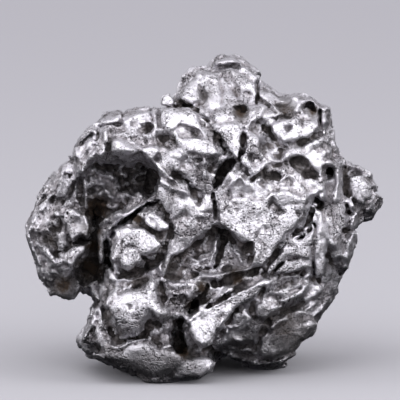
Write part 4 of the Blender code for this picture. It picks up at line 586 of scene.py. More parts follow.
def lower_right(stone):
    """The bar across the lower middle, and the plates under it, down to the table."""
    stone.plate([(188, 323), (200, 311), (222, 299), (240, 289), (262, 280), (277, 277), (268, 290),
                 (251, 301), (238, 306), (228, 320), (217, 334), (211, 346), (201, 351), (192, 342)],
                level=8.6, slope=(-0.17, -0.25), edge=0.8, blend=0.4, calm=0.75)
    stone.groove([(187, 322), (200, 313), (222, 301), (240, 291), (262, 283)], 0.6, -0.5)
    stone.sink([(214, 318), (222, 312), (226, 316), (218, 324)], 0.4, 0.3)
    stone.plate([(166, 285), (176, 281), (190, 280), (199, 284), (201, 290), (194, 298), (188, 301),
                 (180, 298), (172, 302), (165, 306)], level=8.8, slope=(0.0, 0.0), edge=0.4, calm=0.4)
    stone.groove([(168, 289), (178, 293), (182, 290)], 0.35, 0.6)
    stone.groove([(168, 296), (176, 297)], 0.3, 0.5)
    stone.groove([(186, 284), (191, 290), (189, 297)], 0.5, -0.4)
    stone.groove([(196, 309), (210, 301), (222, 293), (233, 286), (243, 277)], 0.8, -0.9)
    stone.groove([(206, 308), (222, 298), (240, 288)], 0.4, 0.7)
    stone.sink([(270, 306), (276, 304), (284, 308), (276, 314), (264, 321), (256, 318), (257, 304)],
               -0.7, 0.4)
    stone.plate([(273, 329), (278, 323), (287, 320), (296, 323), (308, 319), (317, 323), (314, 331),
                 (305, 340), (296, 348), (286, 356), (273, 361), (262, 361), (259, 352), (265, 337)],
                level=3.4, slope=(-0.5, 0.4), edge=0.8, calm=0.5)
    stone.groove([(272, 329), (278, 323), (286, 320)], 0.6, -0.5)
    stone.sink([(232, 316), (246, 311), (254, 315), (252, 327), (240, 332), (230, 329)], -0.5, 0.5)
    stone.groove([(262, 289), (258, 298), (252, 304), (250, 312), (256, 319)],
                 [0.5, 0.7, 0.9, 0.8, 0.4], 1.5)
    stone.groove([(265, 322), (276, 316), (290, 311), (303, 303)], [0.5, 0.9, 0.7, 0.4], 1.3)
    stone.groove([(268, 323), (260, 338), (256, 352)], [0.5, 0.8, 0.6], 1.2)
    stone.groove([(220, 340), (226, 324), (236, 310)], 0.5, 0.9)
    stone.dent((238, 341), (14, 7), -0.8, -10)
    stone.dent((227, 333), (5, 8), -0.6)
    stone.groove([(230, 346), (240, 350), (252, 346)], 0.6, 0.7)
    stone.groove([(231, 357), (245, 363), (262, 366), (280, 363), (292, 358)], 0.7, -0.6)
    stone.hollow([(177, 321), (182, 318), (185, 321), (182, 330), (184, 341), (183, 352), (179, 353),
                  (176, 344), (174, 333), (177, 328)], level=1.5, edge=0.2)
    stone.sink([(184, 309), (190, 303), (198, 301), (197, 310), (190, 314)], 2.6, 0.5)
    stone.groove([(206, 286), (202, 294), (196, 302)], 0.8, 1.5)


def underside(stone):
    """The smooth mass at the lower left, the lump under the middle and the feet behind."""
    stone.lump([(82, 338), (94, 312), (112, 300), (140, 296), (172, 300), (188, 320), (194, 345),
                (190, 362), (176, 375), (155, 380), (143, 374), (126, 368), (107, 362), (90, 355),
                (81, 345)], middle=1.4, slope=(0.12, -0.16), front=6.0, back=8.0, rim=3.8, blend=1.6)
    stone.plate([(173, 369), (181, 361), (190, 357), (202, 355), (211, 358), (216, 365), (211, 373),
                 (200, 379), (188, 380), (176, 377)], level=7.7, slope=(-0.05, -0.1), edge=1.0, blend=0.5,
                calm=0.6)
    stone.groove([(112, 330), (120, 338), (132, 339), (143, 333)], 0.9, 1.5)
    stone.plate([(96, 356), (104, 344), (118, 345), (130, 342), (148, 337), (160, 345), (178, 346),
                 (187, 356), (184, 367), (172, 374), (155, 378), (143, 373), (126, 367), (107, 361)],
                level=8.4, slope=(0.06, 0.26), edge=1.1, blend=1.0, calm=0.85)
    stone.groove([(113, 345), (120, 347), (128, 343), (138, 339), (149, 338)], 0.6, -0.7)
    stone.sink([(160, 340), (170, 333), (174, 335), (179, 345), (165, 348)], -0.5, 0.3)
    stone.sink([(150, 330), (157, 327), (164, 331), (160, 337), (151, 336)], -0.4, 0.3)
    stone.groove([(160, 346), (168, 338), (173, 333)], 0.3, 0.5)
    stone.groove([(95, 320), (100, 334), (110, 342)], 0.9, -0.5)
    stone.groove([(144, 340), (160, 350), (178, 350)], 0.5, 0.3)
    stone.sink([(88, 347), (96, 344), (106, 351), (104, 356), (93, 354)], 0.8, 0.6)
    stone.dent((104, 359), (10, 5), -0.5, -10)
    stone.sink([(213, 353), (222, 352), (226, 358), (222, 364), (216, 361)], 1.6, 0.5)
    stone.lump([(140, 300), (260, 300), (290, 330), (268, 364), (225, 356), (190, 370), (140, 364),
                (118, 340)], middle=-8.5, slope=(0.0, 0.0), front=4.0, back=3.4, rim=4.0)
    for across, out, wide, deep, lift in ((1.5, -5.6, 4.6, 2.2, 1.0), (10.6, -8.0, 3.6, 4.0, 1.6),
                                          (-9.6, -4.4, 3.4, 4.4, 1.5), (0.0, -11.8, 2.6, 2.2, 1.2)):
        stone.scoop(across, out, wide, deep, lift)
    for across, out, wide in ((6.8, -3.4, 2.3), (-6.5, -8.4, 2.6), (5.6, -9.6, 2.5), (-3.5, 4.6, 2.6)):
        stone.foot(across, out, wide, tall=1.9)


def peak(stone):
    """The crumpled peak behind the crown, from its left facet to the knobs at the right."""
    stone.plate([(178, 98), (187, 84), (196, 74), (211, 70), (225, 66), (240, 67), (253, 78),
                 (260, 86), (271, 93), (264, 110), (240, 120), (214, 118), (190, 108)],
                level=1.0, slope=(-0.1, -0.75), edge=1.2, blend=0.8, calm=0.75)
    stone.plate([(256, 88), (272, 90), (283, 96), (296, 96), (309, 100), (322, 107), (330, 114),
                 (330, 124), (300, 122), (266, 116)],
                level=1.8, slope=(-0.3, -0.8), edge=1.0, blend=0.8, calm=0.5)
    stone.plate([(212, 63), (216, 58), (222, 56), (233, 56), (240, 60), (242, 63), (236, 64), (225, 65),
                 (215, 67)], level=-2.4, slope=(0.0, -1.0), edge=0.3)
    stone.plate([(196, 78), (186, 88), (178, 96), (182, 104), (192, 105), (200, 100), (199, 88)],
                level=0.7, slope=(0.4, -0.6), edge=0.4)
    stone.dent((200, 72), (10, 10), -0.7)
    stone.dent((205, 80), (8, 9), -0.5)
    stone.sink([(200, 84), (205, 88), (208, 98), (208, 106), (202, 110), (193, 106), (187, 107),
                (195, 103), (200, 99)], 1.2, 0.5)
    stone.plate([(208, 73), (216, 73), (219, 80), (220, 94), (217, 103), (210, 104), (208, 92), (205, 86)],
                level=1.3, slope=(0.0, -0.6), edge=0.4)
    stone.groove([(212, 68), (226, 66), (238, 65), (246, 69)], [0.4, 0.4, 0.35, 0.2], 0.8)
    stone.groove([(220, 75), (222, 90), (221, 103), (214, 111)], 0.4, 0.7)
    stone.groove([(223, 74), (230, 85), (238, 96)], 0.7, 0.6)
    stone.plate([(229, 68), (240, 72), (255, 82), (255, 96), (248, 90), (240, 91), (234, 80)],
                level=1.0, slope=(-0.1, -0.6), edge=0.4)
    stone.plate([(238, 65), (246, 66), (257, 75), (257, 84), (246, 76)],
                level=-0.6, slope=(-0.1, -0.7), edge=0.4)
    stone.sink([(233, 106), (242, 103), (250, 107), (248, 116), (241, 120), (236, 114)], 1.1, 0.6)
    stone.groove([(256, 80), (257, 92), (255, 101)], 0.35, 0.9)
    stone.groove([(257, 96), (266, 103), (275, 111)], 0.6, 0.9)
    stone.plate([(258, 83), (262, 82), (269, 89), (271, 100), (263, 97), (258, 92)],
                level=-0.2, slope=(-0.1, -0.5), edge=0.3)
    stone.groove([(262, 104), (257, 114), (247, 125)], 1.0, -0.8)
    stone.plate([(212, 113), (220, 108), (227, 112), (228, 117), (222, 121), (214, 123)],
                level=5.2, slope=(0.0, -0.6), edge=0.35)
    stone.plate([(159, 112), (160, 97), (165, 93), (171, 92), (177, 98), (180, 112)], level=0.6,
                slope=(0.2, -0.3), edge=0.5, blend=0.5)
    stone.groove([(172, 96), (178, 101), (184, 105)], 0.35, 0.7)
    stone.groove([(156, 108), (170, 107), (188, 106), (197, 111), (203, 118)],
                 [0.2, 0.25, 0.4, 0.5, 0.5], 1.2)


def wedge_plates(stone):
    """The two plates right of the brow, with open cracks beside them."""
    stone.plate([(214, 125), (222, 121), (232, 120), (243, 125), (242, 140), (236, 158), (231, 156),
                 (226, 150), (221, 141), (217, 133)], level=7.4, slope=(0.0, -0.3), edge=0.3)
    stone.plate([(246, 128), (253, 131), (261, 137), (262, 147), (267, 155), (273, 163), (262, 172),
                 (252, 177), (240, 165), (238, 158), (243, 144)],
                level=7.3, slope=(-0.15, -0.25), edge=0.35)
    stone.groove([(203, 118), (208, 124), (214, 131), (219, 140), (223, 150)],
                 [0.6, 0.35, 0.32, 0.35, 0.3], 2.0)
    stone.sink([(202, 117), (208, 118), (215, 122), (212, 125), (205, 122)], 1.2, 0.4)
    stone.groove([(244, 126), (242, 140), (240, 150), (236, 160)], [0.28, 0.32, 0.3, 0.3], 1.6)
    stone.sink([(244, 153), (252, 151), (262, 156), (264, 165), (254, 170), (246, 164)], 0.5, 0.4)
    stone.sink([(253, 119), (262, 118), (266, 124), (260, 130), (254, 126)], 0.9, 0.5)


def upper_right(stone):
    """The striped slab, the hollows round it and the knobs along the right edge."""
    stone.plate([(268, 125), (274, 119), (283, 117), (298, 116), (303, 120), (315, 120), (320, 124),
                 (321, 132), (312, 137), (304, 141), (296, 144), (284, 146), (278, 141), (271, 134)],
                level=5.9, slope=(-0.25, -0.4), edge=0.5)
    stone.groove([(275, 128), (280, 136), (285, 145)], 0.3, 0.5)
    stone.groove([(281, 130), (285, 137), (290, 144)], 0.3, 0.5)
    stone.sink([(285, 127), (292, 127), (289, 133)], 0.6, 0.3)
    stone.groove([(302, 120), (304, 130), (301, 140)], 0.3, 0.3)
    stone.groove([(269, 128), (272, 137), (279, 145), (287, 148)], 0.4, 1.0)
    stone.groove([(298, 146), (308, 141), (320, 135)], 0.5, 0.9)
    stone.sink([(262, 125), (268, 130), (272, 138), (279, 146), (286, 150), (284, 160), (276, 161),
                (268, 153), (263, 142)], 1.0, 0.5, (0, 0.2))
    stone.groove([(320, 111), (321, 120), (323, 134)], 0.45, 1.2)
    stone.dent((327, 109), (12, 10), -0.9)
    stone.dent((326, 121), (9, 11), -0.7)
    stone.dent((294, 98), (14, 11), -0.8)
    stone.groove([(296, 113), (299, 105), (306, 101), (314, 102), (319, 109)], 0.8, -0.8)
    stone.sink([(303, 108), (308, 106), (315, 108), (316, 113), (305, 114)], 0.6, 0.4)
    stone.sink([(275, 102), (286, 100), (293, 106), (295, 114), (280, 115)], 0.6, 0.6)
    stone.groove([(270, 117), (284, 115), (300, 115)], 0.4, 0.6)
    stone.plate([(289, 156), (290, 149), (297, 146), (303, 150), (306, 154), (303, 158), (294, 159)],
                level=5.6, slope=(-0.1, -0.2), edge=0.3)
    stone.plate([(304, 143), (312, 146), (319, 150), (322, 157), (319, 164), (316, 171), (312, 165),
                 (308, 156)], level=4.7, slope=(-0.2, -0.2), edge=0.3)
    stone.dent((318, 142), (12, 10), -0.7)
    stone.dent((326, 152), (8, 10), -0.5)
    stone.sink([(290, 161), (300, 158), (308, 160), (313, 168), (316, 175), (311, 179), (303, 174),
                (295, 169)], 1.2, 0.5, (0, 0.4))
    stone.groove([(262, 140), (267, 152), (273, 162), (284, 163), (288, 155)], 0.4, -0.4)
    stone.groove([(250, 180), (262, 171), (272, 166), (287, 164)], [0.5, 0.8, 0.8, 0.5], 0.9)
    stone.sink([(260, 170), (272, 168), (282, 172), (276, 180), (266, 180)], 0.5, 0.5)
    stone.groove([(270, 180), (278, 181), (286, 175)], 0.4, -0.5)
    stone.sink([(252, 184), (262, 180), (268, 188), (258, 193)], 0.6, 0.5)


def behind(stone):
    """What the main view hides: humps, a shelf and flat breaks, in the style of the front."""
    stone.lump([(150, 150), (250, 130), (300, 190), (280, 280), (190, 300), (130, 240)],
               middle=-9.5, slope=(0.05, 0.1), front=3.0, back=4.4, rim=4.0, blend=0.8)
    stone.lump([(96, 180), (150, 150), (170, 210), (150, 270), (100, 260)],
               middle=-7.5, slope=(0.2, 0.0), front=3.0, back=3.8, rim=3.0, blend=0.5)
    stone.lump([(250, 250), (320, 230), (330, 280), (290, 330), (240, 310)],
               middle=-8.0, slope=(-0.1, 0.1), front=3.0, back=4.6, rim=3.0, blend=0.5)
    for direction, distance in (((0.2, 0.25, -1), 12.2), ((-0.5, 0.5, -1), 11.8),
                                ((0.8, -0.2, -1), 15.4), ((-0.9, -0.3, -1), 12.9),
                                ((0.1, -0.8, -1), 14.0), ((0.6, 0.9, -0.8), 14.8),
                                ((-1, 0.4, -0.4), 14.6), ((1, -0.7, -0.3), 15.3)):
        stone.facet(direction, distance)


def broken_plates(stone):
    """Cover the sides and the back with plates of broken crystal, with cracks in places."""
    spacing, stretch = 4.2, np.array((0.8, 1.35, 1.0))
    lift_height, crack_depth, crack_width = 0.8, 1.0, 0.35
    band = np.nonzero(np.abs(stone.field) < 2.2)
    sway = [0.6 * smooth_noise(stone.rng, stone.axes, 2.5)[band] for _ in range(3)]
    at = np.stack([axis[i] for axis, i in zip(stone.axes, band)], axis=1) + np.stack(sway, axis=1)
    at *= stretch / spacing
    home = np.floor(at).astype(int)
    low = np.floor(BLOCK_LOW * stretch / spacing).astype(int) - 2
    shape = tuple(np.ceil(BLOCK_HIGH * stretch / spacing).astype(int) + 3 - low)
    seeds = stone.rng.uniform(0.05, 0.95, shape + (3,))
    lifts = stone.rng.uniform(-1, 1, shape)
    leans = stone.rng.uniform(-1, 1, shape + (3,))
    first, second = np.full(len(at), 9.0), np.full(len(at), 9.0)
    lift = np.zeros(len(at))
    for offset in np.ndindex(3, 3, 3):
        cell = tuple((home - low - 1 + offset).T)
        away = at - (home - 1 + offset + seeds[cell])
        distance = np.sqrt((away ** 2).sum(axis=1))
        closer = distance < first
        second = np.where(closer, first, np.minimum(second, distance))
        lift = np.where(closer, lifts[cell] * 0.7 + (leans[cell] * away).sum(axis=1), lift)
        first = np.where(closer, distance, first)
    open_share = np.clip(smooth_noise(stone.rng, stone.axes, 3.0)[band] * 3, 0, 1)
    crack = open_share * np.exp(-((second - first) * spacing / crack_width) ** 2)
    turn = turning_depth(stone.u[band[0]], stone.v[band[1]])
    behind_share = 0.12 + 0.88 * np.clip((turn + 1.5 - stone.w[band[2]]) / 2.5, 0, 1)
    stone.field[band] += behind_share * (crack_depth * crack - lift_height * lift)


def cobbles(stone, spacing, band):
    """Rounded lumps that meet in sharp creases, about -0.5 to 0.5, at the points of a band."""
    at = np.stack([axis[i] for axis, i in zip(stone.axes, band)], axis=1) / spacing
    home = np.floor(at).astype(int)
    low = np.floor(np.array(BLOCK_LOW) / spacing).astype(int) - 1
    shape = tuple(np.ceil(np.array(BLOCK_HIGH) / spacing).astype(int) + 2 - low)
    seeds = stone.rng.uniform(0.1, 0.9, shape + (3,)).astype(np.float32)
    leans = stone.rng.uniform(-0.9, 0.9, shape + (3,)).astype(np.float32)
    lifts = stone.rng.uniform(-0.3, 0.3, shape).astype(np.float32)
    highest = np.full(len(at), -9.0)
    for offset in np.ndindex(3, 3, 3):
        near = home - 1 + offset
        cell = tuple((near - low).T)
        away = at - (near + seeds[cell])
        lump = lifts[cell] + (leans[cell] * away).sum(axis=1) - 1.1 * (away ** 2).sum(axis=1)
        highest = np.maximum(highest, lump)
    return highest


def crumple(stone):
    """Small uneven swells all over, and lumps with creases between them off the flat plates."""
    band = np.nonzero(np.abs(stone.field) < 2.0)
    turn = turning_depth(stone.u[band[0]], stone.v[band[1]])
    rough = 1 - stone.calm[band[:2]] * np.clip((stone.w[band[2]] - turn + 1) / 2, 0, 1)
    for spacing, height in ((3.4, 0.3), (1.5, 0.1)):
        stone.field[band] -= height * rough * smooth_noise(stone.rng, stone.axes, spacing)[band]
    for spacing, height in ((2.3, 0.32), (1.1, 0.2)):
        stone.field[band] -= height * rough * cobbles(stone, spacing, band)


def stand(stone):
    """Cut the stone off flat where it touches the table."""
    stone.field = np.maximum(stone.field, -stone.height())


def close_diagonals(field):
    """Fill the few points where the solid would touch itself only across a diagonal."""
    for _ in range(40):
        inside = field < 0
        fill = np.zeros_like(inside)
        for axis in range(3):
            near = np.moveaxis(inside, axis, 0)
            a, b = near[:, :-1, :-1], near[:, 1:, :-1]
            c, d = near[:, :-1, 1:], near[:, 1:, 1:]
            crossed = (a == d) & (b == c) & (a != b)
            target = np.moveaxis(fill, axis, 0)
            for i, j in np.ndindex(2, 2):
                target[:, i:i + crossed.shape[1], j:j + crossed.shape[2]] |= crossed
        corners = [inside[tuple(slice(o, n - 1 + o) for o, n in zip(offset, inside.shape))]
                   for offset in np.ndindex(2, 2, 2)]
        total = sum(c.astype(np.int8) for c in corners)
        for k in range(4):
            for both, count in ((corners[k] & corners[7 - k], 2), (~corners[k] & ~corners[7 - k], 6)):
                alone = both & (total == count)
                for offset in np.ndindex(2, 2, 2):
                    fill[tuple(slice(o, n - 1 + o) for o, n in zip(offset, inside.shape))] |= alone
        fill &= ~inside
        if not fill.any():
            return field
        field = np.where(fill, -0.05 * CELL, field)
    raise RuntimeError("the field still touches itself across a diagonal")


def skin(field):
    """The closed skin where the field crosses zero: points in grid steps, and quads."""
    inside = field < 0
    sizes = np.array(field.shape)
    cell_sizes = sizes - 1
    crossings = []
    for axis in range(3):
        step = np.eye(3, dtype=int)[axis]
        a = field[tuple(slice(0, n - s) for n, s in zip(sizes, step))]
        b = field[tuple(slice(s, n) for n, s in zip(sizes, step))]
        where = np.argwhere((a < 0) != (b < 0))
        start, end = a[tuple(where.T)], b[tuple(where.T)]
        place = where + (start / (start - end))[:, None] * step
        around = []
        p, q = np.eye(3, dtype=int)[(axis + 1) % 3], np.eye(3, dtype=int)[(axis + 2) % 3]
        for cell in (where - p - q, where - q, where, where - p):
            around.append(np.ravel_multi_index(cell.T, cell_sizes))
        quads = np.stack(around, axis=1)
        quads[start > 0] = quads[start > 0][:, ::-1]
        crossings.append((place, quads))
    cells, ids = np.unique(np.concatenate([q for _, q in crossings]), return_inverse=True)
    quads = ids.reshape(-1, 4)
    places = np.repeat(np.concatenate([p for p, _ in crossings]), 4, axis=0)
    number = np.bincount(quads.ravel(), minlength=len(cells))
    points = [np.bincount(quads.ravel(), weights=places[:, k]) / number for k in range(3)]
    return np.stack(points, axis=1), quads


def largest_shell(points, quads):
    """Keep the stone's own skin, without the loose crumbs and the bubbles inside."""
    label = np.arange(len(points))
    while True:
        lowest = label[quads].min(axis=1)
        update = label.copy()
        for corner in range(4):
            np.minimum.at(update, quads[:, corner], lowest)
        update = update[update]
        if (update == label).all():
            break
        label = update
    names, counts = np.unique(label, return_counts=True)
    keep = label == names[counts.argmax()]
    renumber = np.cumsum(keep) - 1
    return points[keep], renumber[quads[keep[quads[:, 0]]]]


def stand_up(stone, steps):
    """Grid steps to metres, with the sheet leaning back and the table at z = 0."""
    u, v, w = (axis[0] + steps[:, k] * CELL for k, axis in enumerate(stone.axes))
    shrink = 1 - w / EYE_DISTANCE
    lean_cos, lean_sin = math.cos(SHEET_LEAN), math.sin(SHEET_LEAN)
    x = SHEET_SIDEWAYS + u * shrink
    y = SHEET_BACKWARDS + v * shrink * lean_sin - w * lean_cos
    z = SHEET_HEIGHT + v * shrink * lean_cos + w * lean_sin
    return np.stack([x, y, z], axis=1) * MM


REGIONS = (main_mass, behind, underside, faces, upper_left_block, cave, left_lobe, peak, wedge_plates,
           upper_right, middle_blocks, arrowhead, trench_side, lower_right)


def carve():
    """Carve the stone: mass first, then what stands on it, then what is cut into it."""
    stone = Stone()
    for step in REGIONS + (broken_plates, crumple, stand):
        step(stone)
    return stone


def new_mesh(name, points, quads):
    """A mesh from arrays of points and of four-sided faces."""
    mesh = bpy.data.meshes.new(name)
    mesh.vertices.add(len(points))
    mesh.vertices.foreach_set("co", points.astype(np.float32).ravel())
    mesh.loops.add(quads.size)
    mesh.loops.foreach_set("vertex_index", quads.astype(np.int32).ravel())
    mesh.polygons.add(len(quads))
    mesh.polygons.foreach_set("loop_start", np.arange(0, quads.size, 4, dtype=np.int32))
    mesh.update(calc_edges=True)
    mesh.validate()
    return mesh


def mesh_points(mesh):
    """The points of a mesh as an array."""
    points = np.empty(len(mesh.vertices) * 3, dtype=np.float32)
    mesh.vertices.foreach_get("co", points)
    return points.reshape(-1, 3)


def sheet_places(points):
    """World points in metres to places on the sheet and depths, in millimetres."""
    x, y, z = (points / MM - (SHEET_SIDEWAYS, SHEET_BACKWARDS, SHEET_HEIGHT)).T
    lean_cos, lean_sin = math.cos(SHEET_LEAN), math.sin(SHEET_LEAN)
    w = z * lean_sin - y * lean_cos
    shrink = 1 - w / EYE_DISTANCE
    return np.stack([x / shrink, (z * lean_cos + y * lean_sin) / shrink, w], axis=1)


def box_mean(solid, radius):
    """The share of solid in a box around each point of the block."""
    reach = max(1, round(radius / CELL))
    for axis in range(3):
        padded = np.concatenate([np.repeat(solid.take([0], axis), reach + 1, axis), solid,
                                 np.repeat(solid.take([-1], axis), reach, axis)], axis)
        total = np.cumsum(padded, axis=axis, dtype=np.float64)
        width = 2 * reach + 1
        upper = total.take(range(width, total.shape[axis]), axis)
        lower = total.take(range(0, total.shape[axis] - width), axis)
        solid = ((upper - lower) / width).astype(np.float32)
    return solid


def sample(stone, volume, places):
    """The value of a volume at some sheet places, between its grid points."""
    steps = [(places[:, k] - axis[0]) / CELL for k, axis in enumerate(stone.axes)]
    low = [np.clip(np.floor(s).astype(int), 0, n - 2) for s, n in zip(steps, volume.shape)]
    share = [np.clip(s - l, 0, 1) for s, l in zip(steps, low)]
    value = np.zeros(len(places))
    for i, j, k in np.ndindex(2, 2, 2):
        weight = np.abs(1 - i - share[0]) * np.abs(1 - j - share[1]) * np.abs(1 - k - share[2])
        value += weight * volume[low[0] + i, low[1] + j, low[2] + k]
    return value


# Spots of oxide and of painted shade, as places on the sheet, their size in steps and strength; weak ones
# are a dark film
OXIDE_AND_SHADE_SPOTS = (
    ((97, 207), 15, 1.0), ((88, 230), 10, 0.6), ((140, 181), 18, 0.4), ((110, 190), 20, 0.3),
    ((137, 219), 7, 0.9), ((183, 352), 9, 0.9), ((203, 288), 9, 0.8), ((237, 278), 13, 0.8),
    ((285, 109), 12, 0.6), ((313, 111), 7, 0.8), ((241, 112), 8, 0.9), ((204, 96), 10, 0.4),
    ((107, 315), 6, 0.6), ((192, 306), 8, 0.8), ((170, 268), 9, 0.5), ((50, 240), 9, 0.5),
    ((270, 322), 8, 0.5), ((264, 176), 9, 0.4), ((120, 336), 8, 0.4),
    # These four paint the deep shadow in the hollow beside the lower block and under the left lobe as
    # near-black oxide: painted shade
    ((93, 246), 11, 0.9), ((90, 268), 15, 0.95), ((64, 286), 14, 0.75), ((98, 232), 6, 0.7),
    # The weak spots from here on lay a dark film, partly tarnish, mostly painted shade on the underside,
    # the lower right and in some hollows
    ((60, 235), 24, 0.25), ((192, 368), 18, 0.3), ((290, 335), 40, 0.42), ((118, 174), 24, 0.22),
    ((286, 342), 24, 0.46),
    ((242, 346), 20, 0.42), ((225, 262), 14, 0.2), ((300, 166), 10, 0.35), ((262, 146), 10, 0.3),
    ((140, 370), 30, 0.36), ((170, 362), 24, 0.36), ((108, 352), 18, 0.3), ((290, 285), 24, 0.22),
)


def paint(stone, mesh):
    """Store on each point how hollow it lies, near and wide, and how much oxide and painted shade the
    spots leave there.
    """
    places = sheet_places(mesh_points(mesh))
    solid = (stone.field < 0).astype(np.float32)
    wide = sample(stone, box_mean(solid, 2.0), places)
    near = sample(stone, box_mean(solid, 0.32), places)
    oxide_and_shade = np.zeros(len(places))
    facing = np.clip((places[:, 2] + 4) / 3, 0, 1)
    for place, size, strength in OXIDE_AND_SHADE_SPOTS:
        (u, v), = sheet_points([place])
        away = np.hypot(places[:, 0] - u, places[:, 1] - v) / (size * TENTH)
        oxide_and_shade = np.maximum(oxide_and_shade, strength * np.exp(-away ** 2) * facing)
    for name, values in (("hollow", (wide - 0.5) / 0.25), ("crease", (near - 0.5) / 0.3),
                         ("oxide_and_shade", oxide_and_shade)):
        attribute = mesh.attributes.new(name, "FLOAT", "POINT")
        attribute.data.foreach_set("value", np.clip(values, -1, 1).astype(np.float32))


def add_node(tree, kind, **settings):
    """A node of a tree with its settings."""
    node = tree.nodes.new(kind)
    for name, value in settings.items():
        setattr(node, name, value)
    return node


def math_node(tree, operation, first, second=None, clamp=False):
    """A maths node whose inputs are sockets or plain numbers; returns its result."""
    node = tree.nodes.new("ShaderNodeMath")
    node.operation = operation
    node.use_clamp = clamp
    for socket, value in zip(node.inputs, (first, second)):
        if value is None:
            continue
        if hasattr(value, "links"):
            tree.links.new(value, socket)
        else:
            socket.default_value = value
    return node.outputs[0]


def times(tree, value, factor):
    """A value times another, or times a plain number."""
    return math_node(tree, "MULTIPLY", value, factor)


def plus(tree, first, second):
    """The sum of two values."""
    return math_node(tree, "ADD", first, second)


def vector_node(tree, operation, first, second=None, scale=None):
    """A vector maths node whose inputs are sockets or plain vectors."""
    node = tree.nodes.new("ShaderNodeVectorMath")
    node.operation = operation
    for socket, value in ((node.inputs[0], first), (node.inputs[1], second), (node.inputs[3], scale)):
        if value is None:
            continue
        if hasattr(value, "links"):
            tree.links.new(value, socket)
        else:
            socket.default_value = value
    return node.outputs["Value" if operation == "DOT_PRODUCT" else "Vector"]


# Layers of broken facets: their spacing and their lean, as shares of the given ones
FACET_LAYERS = ((1.0, 1.0), (0.42, 0.8))

WEATHERING_INPUTS = (
    ("Facet Spacing", "NodeSocketFloat", "facet_spacing"),
    ("Facet Tilt", "NodeSocketFloat", "facet_tilt"),
    ("Crumple Size", "NodeSocketFloat", "crumple_size"),
    ("Crumple Height", "NodeSocketFloat", "crumple_height"),
    ("Pit Spacing", "NodeSocketFloat", "pit_spacing"),
    ("Pit Depth", "NodeSocketFloat", "pit_depth"),
    ("Pit Share", "NodeSocketFloat", "pit_share"),
    ("Iron", "NodeSocketMaterial", None),
)


def weathering_tree():
    """The nodes that break a skin into small facets, crumple it and pit it."""
    tree = bpy.data.node_groups.new("iron_weathering", "GeometryNodeTree")
    face = tree.interface
    face.new_socket("Geometry", in_out="INPUT", socket_type="NodeSocketGeometry")
    for name, kind, _ in WEATHERING_INPUTS:
        face.new_socket(name, in_out="INPUT", socket_type=kind)
    face.new_socket("Geometry", in_out="OUTPUT", socket_type="NodeSocketGeometry")
    given = tree.nodes.new("NodeGroupInput").outputs
    place = tree.nodes.new("GeometryNodeInputPosition").outputs[0]
    outward = tree.nodes.new("GeometryNodeInputNormal").outputs[0]
    roughness = add_node(tree, "GeometryNodeInputNamedAttribute", data_type="FLOAT")
    roughness.inputs["Name"].default_value = "rough"
    rough = roughness.outputs[0]

    height = None
    for spacing, share in FACET_LAYERS:
        cells = tree.nodes.new("ShaderNodeTexVoronoi")
        tree.links.new(place, cells.inputs["Vector"])
        scale = math_node(tree, "DIVIDE", 1.0, times(tree, given["Facet Spacing"], spacing))
        tree.links.new(scale, cells.inputs["Scale"])
        away = vector_node(tree, "SUBTRACT", place, cells.outputs["Position"])
        lean = vector_node(tree, "SUBTRACT", cells.outputs["Color"], (0.5, 0.5, 0.5))
        rise = vector_node(tree, "DOT_PRODUCT", away, lean)
        rise = times(tree, rise, times(tree, given["Facet Tilt"], 2 * share))
        height = rise if height is None else plus(tree, height, rise)

    folds = add_node(tree, "ShaderNodeTexNoise", noise_type="RIDGED_MULTIFRACTAL")
    tree.links.new(place, folds.inputs["Vector"])
    tree.links.new(math_node(tree, "DIVIDE", 1.0, given["Crumple Size"]), folds.inputs["Scale"])
    folds.inputs["Detail"].default_value = 2.0
    folds.inputs["Roughness"].default_value = 0.5
    fold = math_node(tree, "SUBTRACT", folds.outputs["Fac"], 0.7)
    height = plus(tree, height, times(tree, fold, given["Crumple Height"]))
    height = times(tree, height, rough)

    pits = tree.nodes.new("ShaderNodeTexVoronoi")
    tree.links.new(place, pits.inputs["Vector"])
    tree.links.new(math_node(tree, "DIVIDE", 1.0, given["Pit Spacing"]), pits.inputs["Scale"])
    parts = tree.nodes.new("ShaderNodeSeparateXYZ")
    tree.links.new(pits.outputs["Color"], parts.inputs[0])
    chosen = math_node(tree, "LESS_THAN", parts.outputs[0], given["Pit Share"])
    width = plus(tree, times(tree, parts.outputs[1], 0.25), 0.14)
    depth = math_node(tree, "SUBTRACT", 1.0, math_node(tree, "DIVIDE", pits.outputs["Distance"], width))
    depth = times(tree, math_node(tree, "MAXIMUM", depth, 0.0), chosen)
    depth = times(tree, depth, given["Pit Depth"])
    height = math_node(tree, "SUBTRACT", height, depth)

    move = tree.nodes.new("GeometryNodeSetPosition")
    tree.links.new(given["Geometry"], move.inputs["Geometry"])
    shift = vector_node(tree, "SCALE", outward, scale=height)
    tree.links.new(shift, move.inputs["Offset"])
    join = tree.nodes.new("GeometryNodeRealizeInstances")
    finish = tree.nodes.new("GeometryNodeSetMaterial")
    tree.links.new(move.outputs[0], join.inputs[0])
    tree.links.new(join.outputs[0], finish.inputs["Geometry"])
    tree.links.new(given["Iron"], finish.inputs["Material"])
    result = tree.nodes.new("NodeGroupOutput")
    tree.links.new(finish.outputs[0], result.inputs[0])
    return tree


def set_inputs(modifier, settings, material):
    """Give a weathering modifier its sizes, by the identifiers of its sockets."""
    sockets = {s.name: s.identifier for s in modifier.node_group.interface.items_tree
               if s.item_type == "SOCKET" and s.in_out == "INPUT"}
    for name, _, setting in WEATHERING_INPUTS:
        modifier[sockets[name]] = getattr(settings, setting) if setting else material


def evaluated_copy(thing):
    """The mesh of an object with its modifiers applied."""
    graph = bpy.context.evaluated_depsgraph_get()
    return bpy.data.meshes.new_from_object(thing.evaluated_get(graph), depsgraph=graph)


